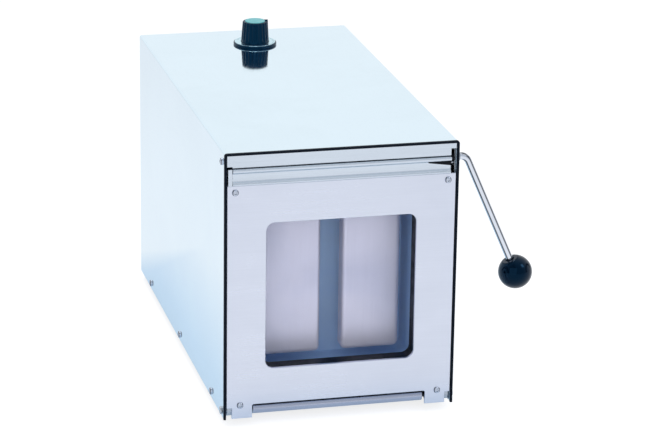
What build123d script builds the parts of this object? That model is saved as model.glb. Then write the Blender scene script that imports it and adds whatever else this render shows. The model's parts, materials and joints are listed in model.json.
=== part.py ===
from build123d import *

import os
from math import atan2, cos, degrees, radians, sin

os.makedirs("parts", exist_ok=True)

# Paddle blender homogenizer: a folded steel casing with a drop-down window door at the front,
# two paddles that knead a sample bag behind the door, the crank drive that moves them,
# a side lever that works the door hooks and a timer knob on the roof.
#
# Every length is in millimetres. Places are given from three faces of the casing:
# x from its middle (right is +), y from its front edge (towards the back is +) and
# z from its lower edge (up is +). The planes below carry these into the part's own frame,
# whose origin is the centre of the whole footprint at the level of the feet.

# --- Driving dimensions -----------------------------------------------------------------------

# casing
case_width = 260.0
case_depth = 505.0
case_height = 305.0
sheet = 1.5
fold_radius = 2.4
rear_flange = 12.0
foot_height = 10.0
foot_radius = 13.0
foot_taper = 6.0
foot_inset = 34.0
foot_setback = 52.0
foot_recess_radius = 5.5
foot_recess_depth = 5.0
foot_edge_radius = 1.5
base_flange_height = 14.0
base_vent_length = 40.0
base_vent_width = 5.0
base_vent_pitch = (48.0, 12.0)
base_vent_grid = (3, 6)
panel_reveal = 1.0
rear_vent_length = 66.0
rear_vent_width = 4.6
rear_vent_pitch = (82.5, 11.0)
rear_vent_rows = 9
rear_vent_height = 222.0

# rubber edging around the front edge of the casing
trim_width = 2.6
trim_proud = 0.5
trim_front = 0.6
trim_depth = 2.5

# front frame and bag chamber
frame_depth = 30.0
frame_sheet = 2.0
frame_setback = 5.3
frame_plate_height = 270.0
mouth_width = 184.0
mouth_height = 207.0
mouth_bottom = 38.0
mouth_radius = 12.0
chamber_depth = 60.0
seal_width = 6.0
liner_flange = 8.0
drain_width = 120.0
drain_length = 8.0
drain_setback = 4.0

# door
door_side_reveal = 2.7
door_bottom = 0.5
door_top = 269.0
door_sheet = 3.0
window_size = 168.0
window_height = 141.0
window_radius = 9.5
pane_corner = 12.5
notch_inset = 28.8
notch_height = 16.0
notch_radius = 2.0
plate_edge_radius = 0.6
knuckle_notch_width = 6.0
knuckle_notch_height = 13.0
inner_frame_inset = 5.3
inner_frame_bottom = 24.0
inner_frame_top = 267.0
inner_frame_thickness = 21.0
pane_overlap = 12.0
pane_thickness = 5.0
pane_seal_thickness = 1.5
retainer_border = 8.0
retainer_reveal = 4.0
retainer_thickness = 2.0
lip_inset = 5.8
lip_height = 19.0
lip_back = 5.0
lip_nose = 2.5
lip_hollow = 1.6
lip_corner = 1.6
lip_bead_height = 4.2
lip_brow_depth = 1.0
lip_foot_height = 1.8
lip_foot_depth = 0.6
lip_cheek_front = 1.2
lip_cheek_back = 0.4
lip_cheek_gap = 1.0
lip_joint = 0.02
door_head_radius = 3.75
door_head_height = 2.0
door_screw_inset = 8.8
door_screw_hold = 8.0
clamp_height = 10.0
clamp_gap = 5.0
clamp_thickness = 3.5

# door hinge
hinge_depth = 10.0
hinge_height = 8.0
hinge_pin_radius = 3.0
hinge_head_radius = 4.5
hinge_head_height = 3.0
hinge_head_edge = 1.2
hinge_barrel_radius = 6.5
hinge_block_length = 25.0
hinge_side_gap = 4.0

# cross member over the door
cross_drop = 13.9
cross_end_gap = 0.5
left_claw_gap = 1.3
right_claw_gap = 7.9
cross_sheet = 2.0
cross_setback = 0.5
cross_flange = 34.0
cross_return = 8.0

# lever, its shaft and the hooks on it
shaft_depth = 19.0
shaft_drop = 23.0
shaft_radius = 5.0
bush_radius = 8.0
rod_radius = 4.0
rod_socket = 9.5
shaft_reach = 6.0
lever_corner_reach = 13.6
lever_bend_radius = 10.0
lever_length = 152.0
lever_splay = 23.8
ball_radius = 19.0
ball_flat_radius = 9.0
hook_thickness = 3.5
hook_hub_radius = 8.0
hook_arm_rise = 3.7
hook_reach = 17.5
hook_nose_thickness = 3.6
hook_nose_drop = 0.1
hook_nose_rise = 1.2
hook_side_gap = 0.8
stud_radius = 2.0
stud_depth = 8.5
stud_drop = 26.0
stud_length = 4.3
ear_width = 6.0
ear_height = 8.0
ear_depth = 8.2

# timer knob
knob_setback = 66.0
skirt_radius = 26.0
skirt_thickness = 2.4
skirt_gap = 0.5
cap_radius = 17.0
cap_top_radius = 15.0
cap_height = 25.6
timer_shaft_reach = 16.4
flute_count = 20
flute_radius = 1.5
flute_foot = 3.0
pointer_width = 2.4
pointer_reach = 2.0
pointer_rise = 1.2
top_disc_radius = 12.0
top_disc_thickness = 0.8
dial_thickness = 0.6
dial_inset = 1.4
timer_radius = 15.0
timer_height = 22.0
timer_shaft_radius = 3.0
timer_bush_radius = 5.0
timer_bush_height = 2.4
nut_flats = 14.0
nut_thickness = 2.2
nut_recess_radius = 9.8

# paddles and their guides
paddle_width = 66.0
paddle_height = 178.0
paddle_thickness = 16.0
paddle_wall = 4.5
paddle_spacing = 90.6
paddle_bottom = 55.0
paddle_front = 45.0
paddle_edge_radius = 6.0
paddle_rim_radius = 4.8
guide_rod_radius = 6.0
guide_rod_spacing = 80.0
guide_rod_seat = 11.0
rod_boss_wall = 4.0
rod_bush_radius = 8.0
rod_bush_flange = 12.0
guide_block_width = 146.0
guide_block_length = 38.0
guide_block_margin = 18.0
guide_core_width = 44.0
guide_core_height = 50.0
bush_flange_thickness = 3.0

# crank drive
crank_depth = 186.0
crank_throw = 10.0
journal_radius = 10.0
crank_pin_radius = 6.0
web_radius = 22.0
web_thickness = 7.0
web_side_gap = 3.0
journal_end = 2.0
roller_radius = 13.0
roller_width = 14.0
yoke_thickness = 16.0
yoke_front_wall = 18.0
yoke_rear_wall = 10.0
open_pivot_clearance = 1.0
yoke_joint = 0.02
bed_pulley_gap = 5.0
bed_top = 86.0
bed_thickness = 8.0
bed_margin = 12.0
bed_window_width = 40.0
bed_window_height = 38.0
bed_window_pitch = 56.0
bed_foot = 14.0
bearing_width = 18.0
bearing_radius = 24.0
bearing_base = 74.0
bearing_base_height = 14.0
bearing_web_gap = 2.0

# motor and belt
motor_height = 82.0
motor_radius = 52.0
motor_bell_radius = 46.8
motor_length = 148.0
motor_shaft_radius = 7.0
motor_shaft_seat = 20.0
motor_end_bell = 22.0
motor_pulley_gap = 23.0
cradle_length = 110.0
cradle_width = 92.0
cradle_height = 52.0
crank_pulley_radius = 54.0
motor_pulley_radius = 18.0
pulley_width = 16.0
pulley_hole_radius = 11.9
pulley_hole_circle = 31.3
pulley_hole_count = 5
pulley_flange = 4.0
pulley_flange_thickness = 1.5
pulley_wall_gap = 13.5
belt_width = 12.0
belt_thickness = 3.0

# drip tray
tray_length = 82.0
tray_height = 11.0
tray_sheet = 1.2
tray_bar_radius = 6.25
tray_side_gap = 2.0
tray_corner = 6.0

# electrics
inlet_x = 70.0
inlet_height = 62.0
inlet_flange_width = 50.0
inlet_flange_height = 38.0
inlet_body_width = 28.0
inlet_body_height = 34.0
inlet_body_depth = 30.0
inlet_proud = 3.0
inlet_corner = 4.0
socket_width = 24.0
socket_height = 16.5
socket_depth = 17.0
socket_rise = 6.0
socket_corner = 4.1
drawer_width = 21.0
drawer_height = 8.0
drawer_depth = 16.0
drawer_drop = 10.0
drawer_pull_width = 7.0
blade_spacing = 14.0
blade_width = 4.0
blade_thickness = 2.0
blade_length = 11.0
switch_rise = 48.0
switch_width = 16.0
switch_height = 24.0
switch_body_depth = 20.0
switch_rim = 3.0
rocker_width = 11.0
rocker_height = 18.0
rocker_depth = 7.0
rocker_tilt = 10.0
rocker_gap = 1.2
rocker_hollow = 1.8
rocker_pin_radius = 1.5
rocker_pin_length = 1.6
board_width = 100.0
board_length = 66.0
board_thickness = 1.6
board_x = 45.0
board_setback = 60.0
board_post_height = 8.0
board_post_radius = 4.0
board_post_inset = 6.0
capacitor_radius = 8.0
capacitor_pitch = 20.0
capacitor_x = 19.0
capacitor_height = 22.0
transformer_size = 26.0
transformer_x = 51.5
transformer_height = 20.8
heat_sink_length = 44.0
heat_sink_height = 18.0
heat_sink_pitch = 4.0
heat_sink_fins = 4
heat_sink_bar = 12.0
heat_sink_x = 78.8
supply_width = 80.0
supply_length = 70.0
supply_height = 46.0
supply_x = -70.0
supply_setback = 65.0
switch_case_width = 10.0
switch_case_length = 20.0
switch_case_height = 28.0
door_switch_height = 210.0
plunger_radius = 2.0
plunger_travel = 2.0

# clearances and fasteners
body_gap = 0.3
side_screw_depth = 15.0
side_screw_drop = 12.0
skirt_screw_inset = 70.0
rear_screw_inset = 20.0
foot_screw_radius = 2.5
running = 0.05
screw_head_radius = 4.0
screw_head_height = 2.4
head_taper = 18.0
screw_radius = 2.0
small_screw_radius = 1.5
small_head_radius = 3.0

# --- Places worked out from the driving dimensions --------------------------------------------

half_width = case_width / 2
wall_in = half_width - sheet
trim_in = half_width + trim_proud - trim_width
trim_under = case_height + trim_proud - trim_width
roof_under = case_height - sheet
shaft_height = case_height - shaft_drop
stud_height = case_height - stud_drop
half_door = half_width - door_side_reveal
door_width = 2 * half_door
lip_width = door_width - 2 * lip_inset
notch_width = door_width - 2 * notch_inset
inner_frame_width = door_width - 2 * inner_frame_inset
pane_size = window_size + 2 * pane_overlap
retainer_size = pane_size + 2 * retainer_border
retainer_opening = window_size + 2 * retainer_reveal
clamp_bottom = mouth_bottom + mouth_height + seal_width + clamp_gap
door_switch_x = (mouth_width / 2 + liner_flange + wall_in) / 2
knob_depth = case_depth - knob_setback
board_depth = case_depth - board_setback
supply_depth = case_depth - supply_setback
pulley_x = wall_in - pulley_wall_gap - pulley_width / 2
door_back = door_sheet + inner_frame_thickness
retainer_back = door_back + retainer_thickness
pane_front = door_back - pane_thickness
frame_back = frame_depth + frame_sheet
chamber_back = frame_back + chamber_depth
paddle_middle = paddle_bottom + paddle_height / 2
paddle_back = paddle_front + paddle_thickness
paddle_x = (-paddle_spacing / 2, paddle_spacing / 2)
rod_heights = (paddle_middle - guide_rod_spacing / 2, paddle_middle + guide_rod_spacing / 2)
crank_height = paddle_middle
lever_lean = radians(lever_splay)
lever_corner = half_width + lever_corner_reach
ball_x = lever_corner + lever_length * sin(lever_lean)
ball_height = shaft_height - lever_length * cos(lever_lean)
rear_outside = case_depth + sheet

left_reach = half_width + hinge_head_height
right_reach = ball_x + ball_radius
back_reach = rear_outside + inlet_proud
mid_x = (left_reach - right_reach) / 2
front_y = (lip_nose - back_reach) / 2
base_z = foot_height


def at_depth(y):
    """Upright plane facing the front. Positive extrusions run forwards, negative ones back."""
    return Plane(origin=(mid_x, front_y + y, base_z), x_dir=(1, 0, 0), z_dir=(0, -1, 0))


def at_back(y):
    """Upright plane facing the back. Its own x runs to the left of the machine."""
    return Plane(origin=(mid_x, front_y + y, base_z), x_dir=(-1, 0, 0), z_dir=(0, 1, 0))


def at_side(x):
    """Upright plane facing the right side. Its own axes are depth and height."""
    return Plane(origin=(mid_x + x, front_y, base_z), x_dir=(0, 1, 0), z_dir=(1, 0, 0))


def at_height(z):
    """Level plane facing up."""
    return Plane(origin=(mid_x, front_y, base_z + z), x_dir=(1, 0, 0), z_dir=(0, 0, 1))


def save(builder, label):
    builder.part.label = label
    export_step(builder.part, f"parts/{label}.step")


def arch(width, height, radius):
    """Face that stands on z = 0 and has two rounded upper corners."""
    with BuildSketch(mode=Mode.PRIVATE) as outline:
        Rectangle(width, height, align=(Align.CENTER, Align.MIN))
        fillet(outline.vertices().group_by(Axis.Y)[-1], radius)
    return outline.sketch


def block(x_range, y_range, z_range):
    """Plain prism between three pairs of places, added to the part being built."""
    with BuildSketch(at_height(z_range[0])) as footprint:
        with Locations(((x_range[0] + x_range[1]) / 2, (y_range[0] + y_range[1]) / 2)):
            Rectangle(x_range[1] - x_range[0], y_range[1] - y_range[0])
    extrude(footprint.sketch, amount=z_range[1] - z_range[0])


def mirrored(points):
    """The same points on both sides of the middle."""
    return [(sign * x, y) for x, y in points for sign in (-1, 1)]


def bore_through(plane, points, radius, depth):
    """Round holes that run from the plane against its facing direction."""
    with BuildSketch(plane) as holes:
        with Locations(*points):
            Circle(radius)
    extrude(holes.sketch, amount=-depth, mode=Mode.SUBTRACT)


# --- Casing -----------------------------------------------------------------------------------

side_screw_points = [(side_screw_depth, case_height - side_screw_drop)]
skirt_screw_depths = (skirt_screw_inset, case_depth / 2, case_depth - skirt_screw_inset)
skirt_screw_points = [(y, base_flange_height / 2) for y in skirt_screw_depths]
rear_screw_x = half_width - rear_flange / 2
rear_screw_heights = (rear_screw_inset, case_height / 2, case_height - rear_screw_inset)
rear_screw_points = mirrored([(rear_screw_x, z) for z in rear_screw_heights])

with BuildPart() as casing_cover:
    with BuildSketch(at_depth(0)):
        add(arch(case_width, case_height, fold_radius))
        add(arch(case_width - 2 * sheet, roof_under, fold_radius - sheet), mode=Mode.SUBTRACT)
    extrude(amount=-case_depth)
    with BuildSketch(at_depth(case_depth)):
        add(arch(case_width, case_height, fold_radius))
        add(arch(case_width - 2 * rear_flange, case_height - rear_flange, fold_radius), mode=Mode.SUBTRACT)
    extrude(amount=sheet)
    bore_through(at_back(case_depth), rear_screw_points, screw_radius, sheet)
    for plane in (at_side(half_width), at_side(-wall_in)):
        bore_through(plane, [(hinge_depth, hinge_height)], hinge_pin_radius, sheet)
        bore_through(plane, side_screw_points + skirt_screw_points, screw_radius, sheet)
    bore_through(at_side(half_width), [(shaft_depth, shaft_height)], shaft_radius + body_gap, sheet)
    bore_through(at_height(case_height), [(0, knob_depth)], timer_bush_radius, sheet)
save(casing_cover, "casing_cover")

with BuildPart() as front_edge_trim:
    with BuildSketch(at_depth(-trim_front)):
        add(arch(case_width + 2 * trim_proud, case_height + trim_proud, fold_radius + trim_proud))
        add(arch(2 * trim_in, trim_under, fold_radius - sheet), mode=Mode.SUBTRACT)
    extrude(amount=-(trim_front + trim_depth))
    with BuildSketch(at_depth(0)):
        add(arch(case_width, case_height, fold_radius))
        add(arch(case_width - 2 * sheet, roof_under, fold_radius - sheet), mode=Mode.SUBTRACT)
    extrude(amount=-trim_depth, mode=Mode.SUBTRACT)
save(front_edge_trim, "front_edge_trim")

foot_points = [
    (sign * (half_width - foot_inset), y)
    for sign in (-1, 1)
    for y in (foot_setback, case_depth - foot_inset)
]
post_x = board_width / 2 - board_post_inset
post_y = board_length / 2 - board_post_inset
board_post_points = [
    (board_x + sx * post_x, board_depth + sy * post_y)
    for sx in (-1, 1)
    for sy in (-1, 1)
]
base_front = 2 * hinge_depth + frame_sheet
base_length = case_depth - sheet - base_front

with BuildPart() as base_plate:
    block((-wall_in, wall_in), (base_front, base_front + base_length), (0, frame_sheet))
    for sign in (-1, 1):
        inner, outer = sorted((sign * (wall_in - frame_sheet), sign * wall_in))
        block((inner, outer), (frame_back, case_depth - sheet), (0, base_flange_height))
    with BuildSketch(at_height(frame_sheet)):
        with Locations(*board_post_points):
            Circle(board_post_radius)
    extrude(amount=board_post_height)
    with BuildSketch(at_height(frame_sheet)):
        with Locations((0, crank_depth)):
            with GridLocations(*base_vent_pitch, *base_vent_grid):
                SlotOverall(base_vent_length, base_vent_width)
    extrude(amount=-frame_sheet, mode=Mode.SUBTRACT)
    bore_through(at_height(frame_sheet), foot_points, foot_screw_radius, frame_sheet)
    for plane in (at_side(wall_in), at_side(-wall_in + frame_sheet)):
        bore_through(plane, skirt_screw_points, screw_radius, frame_sheet)
save(base_plate, "base_plate")

with BuildPart() as rubber_feet:
    with BuildSketch(at_height(0)):
        with Locations(*foot_points):
            Circle(foot_radius)
    extrude(amount=-foot_height, taper=foot_taper)
    fillet(rubber_feet.edges().group_by(Axis.Z)[0], foot_edge_radius)
    with BuildSketch(at_height(-foot_height)):
        with Locations(*foot_points):
            Circle(foot_recess_radius)
    extrude(amount=foot_recess_depth, mode=Mode.SUBTRACT)
    bore_through(at_height(0), foot_points, foot_screw_radius, foot_height)
save(rubber_feet, "rubber_feet")

inlet_screw_x = inlet_flange_width / 2 - (inlet_flange_width - inlet_body_width) / 4
inlet_screw_points = [(-inlet_x + sign * inlet_screw_x, inlet_height) for sign in (-1, 1)]
switch_middle = inlet_height + switch_rise
with BuildPart() as rear_panel:
    with BuildSketch(at_back(case_depth)):
        add(arch(case_width - 2 * panel_reveal, case_height - panel_reveal, fold_radius))
        with Locations((0, rear_vent_height)):
            with GridLocations(*rear_vent_pitch, 2, rear_vent_rows):
                SlotOverall(rear_vent_length, rear_vent_width, mode=Mode.SUBTRACT)
        with Locations((-inlet_x, inlet_height)):
            Rectangle(inlet_body_width, inlet_body_height, mode=Mode.SUBTRACT)
        with Locations((-inlet_x, switch_middle)):
            Rectangle(switch_width, switch_height, mode=Mode.SUBTRACT)
        with Locations(*rear_screw_points, *inlet_screw_points):
            Circle(screw_radius, mode=Mode.SUBTRACT)
    extrude(amount=sheet)
save(rear_panel, "rear_panel")


def screws(plane, points, shank, head=screw_head_radius, rise=screw_head_height, radius=screw_radius):
    """Round-headed screws: heads in front of the plane, shanks behind it."""
    with BuildSketch(plane) as heads:
        with Locations(*points):
            Circle(head)
    extrude(heads.sketch, amount=rise, taper=head_taper)
    with BuildSketch(plane) as shanks:
        with Locations(*points):
            Circle(radius)
    extrude(shanks.sketch, amount=-shank)


upturned_height = foot_recess_depth - foot_height
upturned = Plane(origin=at_height(upturned_height).origin, x_dir=(1, 0, 0), z_dir=(0, 0, -1))
left_side = Plane(origin=(mid_x - half_width, front_y, base_z), x_dir=(0, -1, 0), z_dir=(-1, 0, 0))
with BuildPart() as housing_screws:
    side_points = side_screw_points + skirt_screw_points
    screws(at_side(half_width), side_points, sheet + frame_sheet)
    screws(left_side, [(-y, z) for y, z in side_points], sheet + frame_sheet)
    screws(at_back(rear_outside), rear_screw_points, 2 * sheet)
    foot_shank = frame_sheet - upturned_height
    screws(upturned, [(x, -y) for x, y in foot_points], foot_shank, radius=foot_screw_radius)
save(housing_screws, "housing_screws")

# --- Front frame, cross member and bag chamber ------------------------------------------------

mouth_middle = mouth_bottom + mouth_height / 2
flange_top = trim_under - frame_sheet
with BuildPart() as front_frame:
    with BuildSketch(at_depth(frame_depth)):
        with Locations((0, frame_sheet)):
            plate_height = frame_plate_height - frame_sheet
            Rectangle(2 * wall_in, plate_height, align=(Align.CENTER, Align.MIN))
        with Locations((0, mouth_middle)):
            RectangleRounded(mouth_width, mouth_height, mouth_radius, mode=Mode.SUBTRACT)
        Rectangle(notch_width, notch_height, align=(Align.CENTER, Align.MIN), mode=Mode.SUBTRACT)
    extrude(amount=-frame_sheet)
    for sign in (-1, 1):
        inner, outer = sorted((sign * (wall_in - frame_sheet), sign * wall_in))
        block((inner, outer), (frame_setback, frame_back), (frame_sheet, flange_top))
    for plane in (at_side(wall_in), at_side(-wall_in + frame_sheet)):
        bore_through(plane, [(hinge_depth, hinge_height)], hinge_pin_radius, frame_sheet)
        bore_through(plane, side_screw_points, screw_radius, frame_sheet)
        bore_through(plane, [(shaft_depth, shaft_height)], bush_radius, frame_sheet)
    plunger_bore = plunger_radius + running
    bore_through(at_depth(frame_depth), [(door_switch_x, door_switch_height)], plunger_bore, frame_sheet)
save(front_frame, "front_frame")

with BuildPart() as door_seal:
    with BuildSketch(at_depth(retainer_back + body_gap)):
        with Locations((0, mouth_middle)):
            outer_radius = mouth_radius + seal_width
            RectangleRounded(mouth_width + 2 * seal_width, mouth_height + 2 * seal_width, outer_radius)
            RectangleRounded(mouth_width, mouth_height, mouth_radius, mode=Mode.SUBTRACT)
    extrude(amount=-(frame_depth - retainer_back - body_gap))
save(door_seal, "door_seal")

with BuildPart() as bag_clamp_strip:
    with BuildSketch(at_depth(door_back + clamp_thickness + body_gap)):
        with Locations((0, clamp_bottom + clamp_height / 2)):
            SlotOverall(mouth_width, clamp_height)
    extrude(amount=-(frame_depth - door_back - clamp_thickness - body_gap))
save(bag_clamp_strip, "bag_clamp_strip")

# The cross member is a bent strip: a face over the door, a short return below it and a flange
# that steps up behind the edging to lie under the roof. Its face runs on past the return at both
# ends, and is cut higher at the right end, where the claw shows.
with BuildPart() as top_cross_member:
    with BuildSketch(at_side(-lip_width / 2)):
        with BuildLine():
            face_back = cross_setback + cross_sheet
            face_bottom = trim_under - cross_drop
            step = frame_setback
            Polyline(
                (cross_setback, face_bottom),
                (cross_return, face_bottom),
                (cross_return, face_bottom + cross_sheet),
                (face_back, face_bottom + cross_sheet),
                (face_back, trim_under - cross_sheet),
                (step + cross_sheet, trim_under - cross_sheet),
                (step + cross_sheet, roof_under - cross_sheet),
                (cross_flange, roof_under - cross_sheet),
                (cross_flange, roof_under),
                (step, roof_under),
                (step, trim_under),
                (cross_setback, trim_under),
                close=True,
            )
        make_face()
    extrude(amount=lip_width)
    for sign, claw_gap in ((-1, left_claw_gap), (1, right_claw_gap)):
        inner, outer = sorted((sign * lip_width / 2, sign * (trim_in - cross_end_gap)))
        block((inner, outer), (cross_setback, face_back), (face_bottom + claw_gap, trim_under))
save(top_cross_member, "top_cross_member")

rod_points = [(x, z) for x in paddle_x for z in rod_heights]
liner_width = mouth_width + 2 * liner_flange
liner_height = mouth_height + 2 * liner_flange
with BuildPart() as chamber_liner:
    with BuildSketch(at_depth(frame_back)):
        with Locations((0, mouth_middle)):
            RectangleRounded(mouth_width + 2 * sheet, mouth_height + 2 * sheet, mouth_radius + sheet)
    extrude(amount=-chamber_depth)
    with BuildSketch(at_depth(frame_back)):
        with Locations((0, mouth_middle)):
            RectangleRounded(mouth_width, mouth_height, mouth_radius)
    extrude(amount=-(chamber_depth - sheet), mode=Mode.SUBTRACT)
    with BuildSketch(at_depth(frame_back)):
        with Locations((0, mouth_middle)):
            RectangleRounded(liner_width, liner_height, mouth_radius + liner_flange)
            RectangleRounded(mouth_width, mouth_height, mouth_radius, mode=Mode.SUBTRACT)
    extrude(amount=-sheet)
    bore_through(at_depth(chamber_back - sheet), rod_points, guide_rod_radius + body_gap, sheet)
    with BuildSketch(at_height(mouth_bottom)):
        with Locations((0, frame_back + drain_setback + drain_length / 2)):
            SlotOverall(drain_width, drain_length)
    extrude(amount=-sheet, mode=Mode.SUBTRACT)
save(chamber_liner, "chamber_liner")

# --- Door -------------------------------------------------------------------------------------

# Its plate has the window, a notch at the bottom for the tray bar and two corner notches
# that show the hinge knuckles.
foot_screw_x = (half_door + notch_width / 2) / 2
upper_screws = mirrored([(half_door - door_screw_inset, door_top - 2 * door_head_radius)])
lower_screws = mirrored([(foot_screw_x, notch_height)])
door_screw_points = upper_screws + lower_screws
with BuildPart() as door_plate:
    with BuildSketch(at_depth(0)):
        with Locations((0, door_bottom)):
            Rectangle(door_width, door_top - door_bottom, align=(Align.CENTER, Align.MIN))
        with Locations((0, window_height)):
            RectangleRounded(window_size, window_size, window_radius, mode=Mode.SUBTRACT)
        add(arch(notch_width, notch_height, notch_radius), mode=Mode.SUBTRACT)
        with Locations(*mirrored([(half_door, 0)])):
            Rectangle(2 * knuckle_notch_width, 2 * knuckle_notch_height, mode=Mode.SUBTRACT)
    extrude(amount=-door_sheet)
    fillet(door_plate.faces().sort_by(Axis.Y)[0].edges(), plate_edge_radius)
    bore_through(at_depth(0), door_screw_points, screw_radius, door_sheet)
save(door_plate, "door_plate")

# The lip is a drawn bar over the plate: a round bead along the top that fingers pull on, a hollow
# below it and a small foot on the plate. A thin cheek closes its left end.
with BuildPart() as door_lip:
    with BuildSketch(at_side(-lip_width / 2)):
        with BuildLine():
            lip_top = door_top + lip_height
            corner_cut = lip_corner * (1 - cos(radians(45)))
            bead_bottom = lip_top - lip_bead_height
            bead_middle = lip_top - lip_bead_height / 2
            foot_top = door_top + lip_foot_height
            brow = (-lip_brow_depth, bead_bottom)
            foot = (-lip_foot_depth, foot_top)
            Line((0, door_top), (lip_back, door_top))
            Line((lip_back, door_top), (lip_back, lip_top - lip_corner))
            ThreePointArc(
                (lip_back, lip_top - lip_corner),
                (lip_back - corner_cut, lip_top - corner_cut),
                (lip_back - lip_corner, lip_top),
            )
            Line((lip_back - lip_corner, lip_top), (-lip_brow_depth, lip_top))
            ThreePointArc((-lip_brow_depth, lip_top), (-lip_nose, bead_middle), brow)
            ThreePointArc(brow, (lip_hollow, (bead_bottom + foot_top) / 2), foot)
            ThreePointArc(foot, (-lip_foot_depth, door_top + lip_foot_height / 2), (0, door_top))
        make_face()
    extrude(amount=lip_width)
    cheek = (lip_cheek_gap - trim_in, -lip_width / 2 - lip_joint)
    block(cheek, (-lip_cheek_front, lip_cheek_back), (door_top, lip_top))
save(door_lip, "door_lip")

retainer_screw_x = (retainer_size + pane_size) / 4
retainer_screw_points = [
    (sx * retainer_screw_x, window_height + sz * retainer_screw_x)
    for sx in (-1, 0, 1)
    for sz in (-1, 0, 1)
    if sx or sz
]
with BuildPart() as door_inner_frame:
    with BuildSketch(at_depth(door_sheet)):
        with Locations((0, inner_frame_bottom)):
            inner_height = inner_frame_top - inner_frame_bottom
            Rectangle(inner_frame_width, inner_height, align=(Align.CENTER, Align.MIN))
        with Locations((0, window_height)):
            RectangleRounded(window_size, window_size, window_radius, mode=Mode.SUBTRACT)
    extrude(amount=-inner_frame_thickness)
    with BuildSketch(at_depth(door_back)):
        with Locations((0, window_height)):
            RectangleRounded(pane_size, pane_size, pane_corner)
    extrude(amount=pane_thickness + pane_seal_thickness, mode=Mode.SUBTRACT)
    bore_through(at_depth(door_sheet), upper_screws, screw_radius, door_screw_hold)
    with BuildSketch(at_depth(door_back)):
        with Locations(*retainer_screw_points):
            Circle(small_screw_radius)
    extrude(amount=door_screw_hold, mode=Mode.SUBTRACT)
save(door_inner_frame, "door_inner_frame")

with BuildPart() as pane_seal:
    with BuildSketch(at_depth(pane_front - pane_seal_thickness)):
        with Locations((0, window_height)):
            RectangleRounded(pane_size, pane_size, pane_corner)
            RectangleRounded(window_size, window_size, window_radius, mode=Mode.SUBTRACT)
    extrude(amount=-pane_seal_thickness)
save(pane_seal, "pane_seal")

with BuildPart() as window_pane:
    with BuildSketch(at_depth(pane_front)):
        with Locations((0, window_height)):
            RectangleRounded(pane_size - 2 * body_gap, pane_size - 2 * body_gap, pane_corner)
    extrude(amount=-pane_thickness)
save(window_pane, "window_pane")

with BuildPart() as pane_retainer:
    with BuildSketch(at_depth(door_back)):
        with Locations((0, window_height)):
            RectangleRounded(retainer_size, retainer_size, window_radius)
            RectangleRounded(retainer_opening, retainer_opening, window_radius, mode=Mode.SUBTRACT)
        with Locations(*retainer_screw_points):
            Circle(small_head_radius, mode=Mode.SUBTRACT)
    extrude(amount=-retainer_thickness)
save(pane_retainer, "pane_retainer")

with BuildPart() as door_screws:
    shank = door_sheet + door_screw_hold
    screws(at_depth(0), door_screw_points, shank, head=door_head_radius, rise=door_head_height)
    with BuildSketch(at_back(door_back)):
        with Locations(*retainer_screw_points):
            Circle(small_head_radius)
    extrude(amount=retainer_thickness)
    with BuildSketch(at_back(door_back)):
        with Locations(*retainer_screw_points):
            Circle(small_screw_radius)
    extrude(amount=-door_screw_hold)
save(door_screws, "door_screws")

hinge_outer = half_width - hinge_side_gap
with BuildPart() as hinge_blocks:
    for sign in (-1, 1):
        outer = hinge_outer if sign > 0 else hinge_block_length - hinge_outer
        with BuildSketch(at_side(outer)):
            with Locations((hinge_depth, hinge_height)):
                Circle(hinge_barrel_radius)
            with Locations((door_sheet, hinge_height)):
                Rectangle(
                    hinge_depth + hinge_barrel_radius - door_sheet,
                    inner_frame_bottom - hinge_height,
                    align=(Align.MIN, Align.MIN),
                )
        extrude(amount=-hinge_block_length)
        pin_bore = hinge_pin_radius + running
        bore_through(at_side(outer), [(hinge_depth, hinge_height)], pin_bore, hinge_block_length)
    bore_through(at_depth(door_sheet), lower_screws, screw_radius, door_screw_hold)
save(hinge_blocks, "hinge_blocks")

with BuildPart() as hinge_pins:
    for sign in (-1, 1):
        outward = Plane(
            origin=(mid_x + sign * half_width, front_y + hinge_depth, base_z + hinge_height),
            x_dir=(0, 1, 0),
            z_dir=(sign, 0, 0),
        )
        with BuildSketch(outward):
            Circle(hinge_head_radius)
        extrude(amount=hinge_head_height)
        with BuildSketch(outward):
            Circle(hinge_pin_radius)
        extrude(amount=-(hinge_side_gap + hinge_block_length))
    rims = hinge_pins.edges().group_by(Axis.X)
    fillet(rims[0] + rims[-1], hinge_head_edge)
save(hinge_pins, "hinge_pins")

with BuildPart() as catch_studs:
    for sign in (-1, 1):
        inner, outer = sorted((sign * (lip_width / 2 - ear_width), sign * lip_width / 2))
        ear_bottom = stud_height - ear_height / 2
        block((inner, outer), (lip_back, lip_back + ear_depth), (ear_bottom, ear_bottom + ear_height))
        ear_face = at_side(sign * lip_width / 2)
        bore_through(ear_face, [(stud_depth, stud_height)], stud_radius + running, sign * ear_width)
        with BuildSketch(ear_face):
            with Locations((stud_depth, stud_height)):
                Circle(stud_radius)
        extrude(amount=sign * stud_length)
        with BuildSketch(ear_face):
            with Locations((stud_depth, stud_height)):
                Circle(stud_radius)
        extrude(amount=-sign * ear_width)
save(catch_studs, "catch_studs")

with BuildPart() as door_clamp_strip:
    with BuildSketch(at_depth(door_back)):
        with Locations((0, clamp_bottom + clamp_height / 2)):
            SlotOverall(mouth_width, clamp_height)
    extrude(amount=-clamp_thickness)
save(door_clamp_strip, "door_clamp_strip")

# --- Lever, latch shaft and hooks -------------------------------------------------------------

rod_start = half_width + shaft_reach - rod_socket
with BuildPart() as latch_shaft:
    with BuildSketch(at_side(-wall_in + body_gap)):
        with Locations((shaft_depth, shaft_height)):
            Circle(shaft_radius)
    extrude(amount=wall_in - body_gap + half_width + shaft_reach)
    shaft_end = at_side(half_width + shaft_reach)
    bore_through(shaft_end, [(shaft_depth, shaft_height)], rod_radius, rod_socket)
save(latch_shaft, "latch_shaft")

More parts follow.
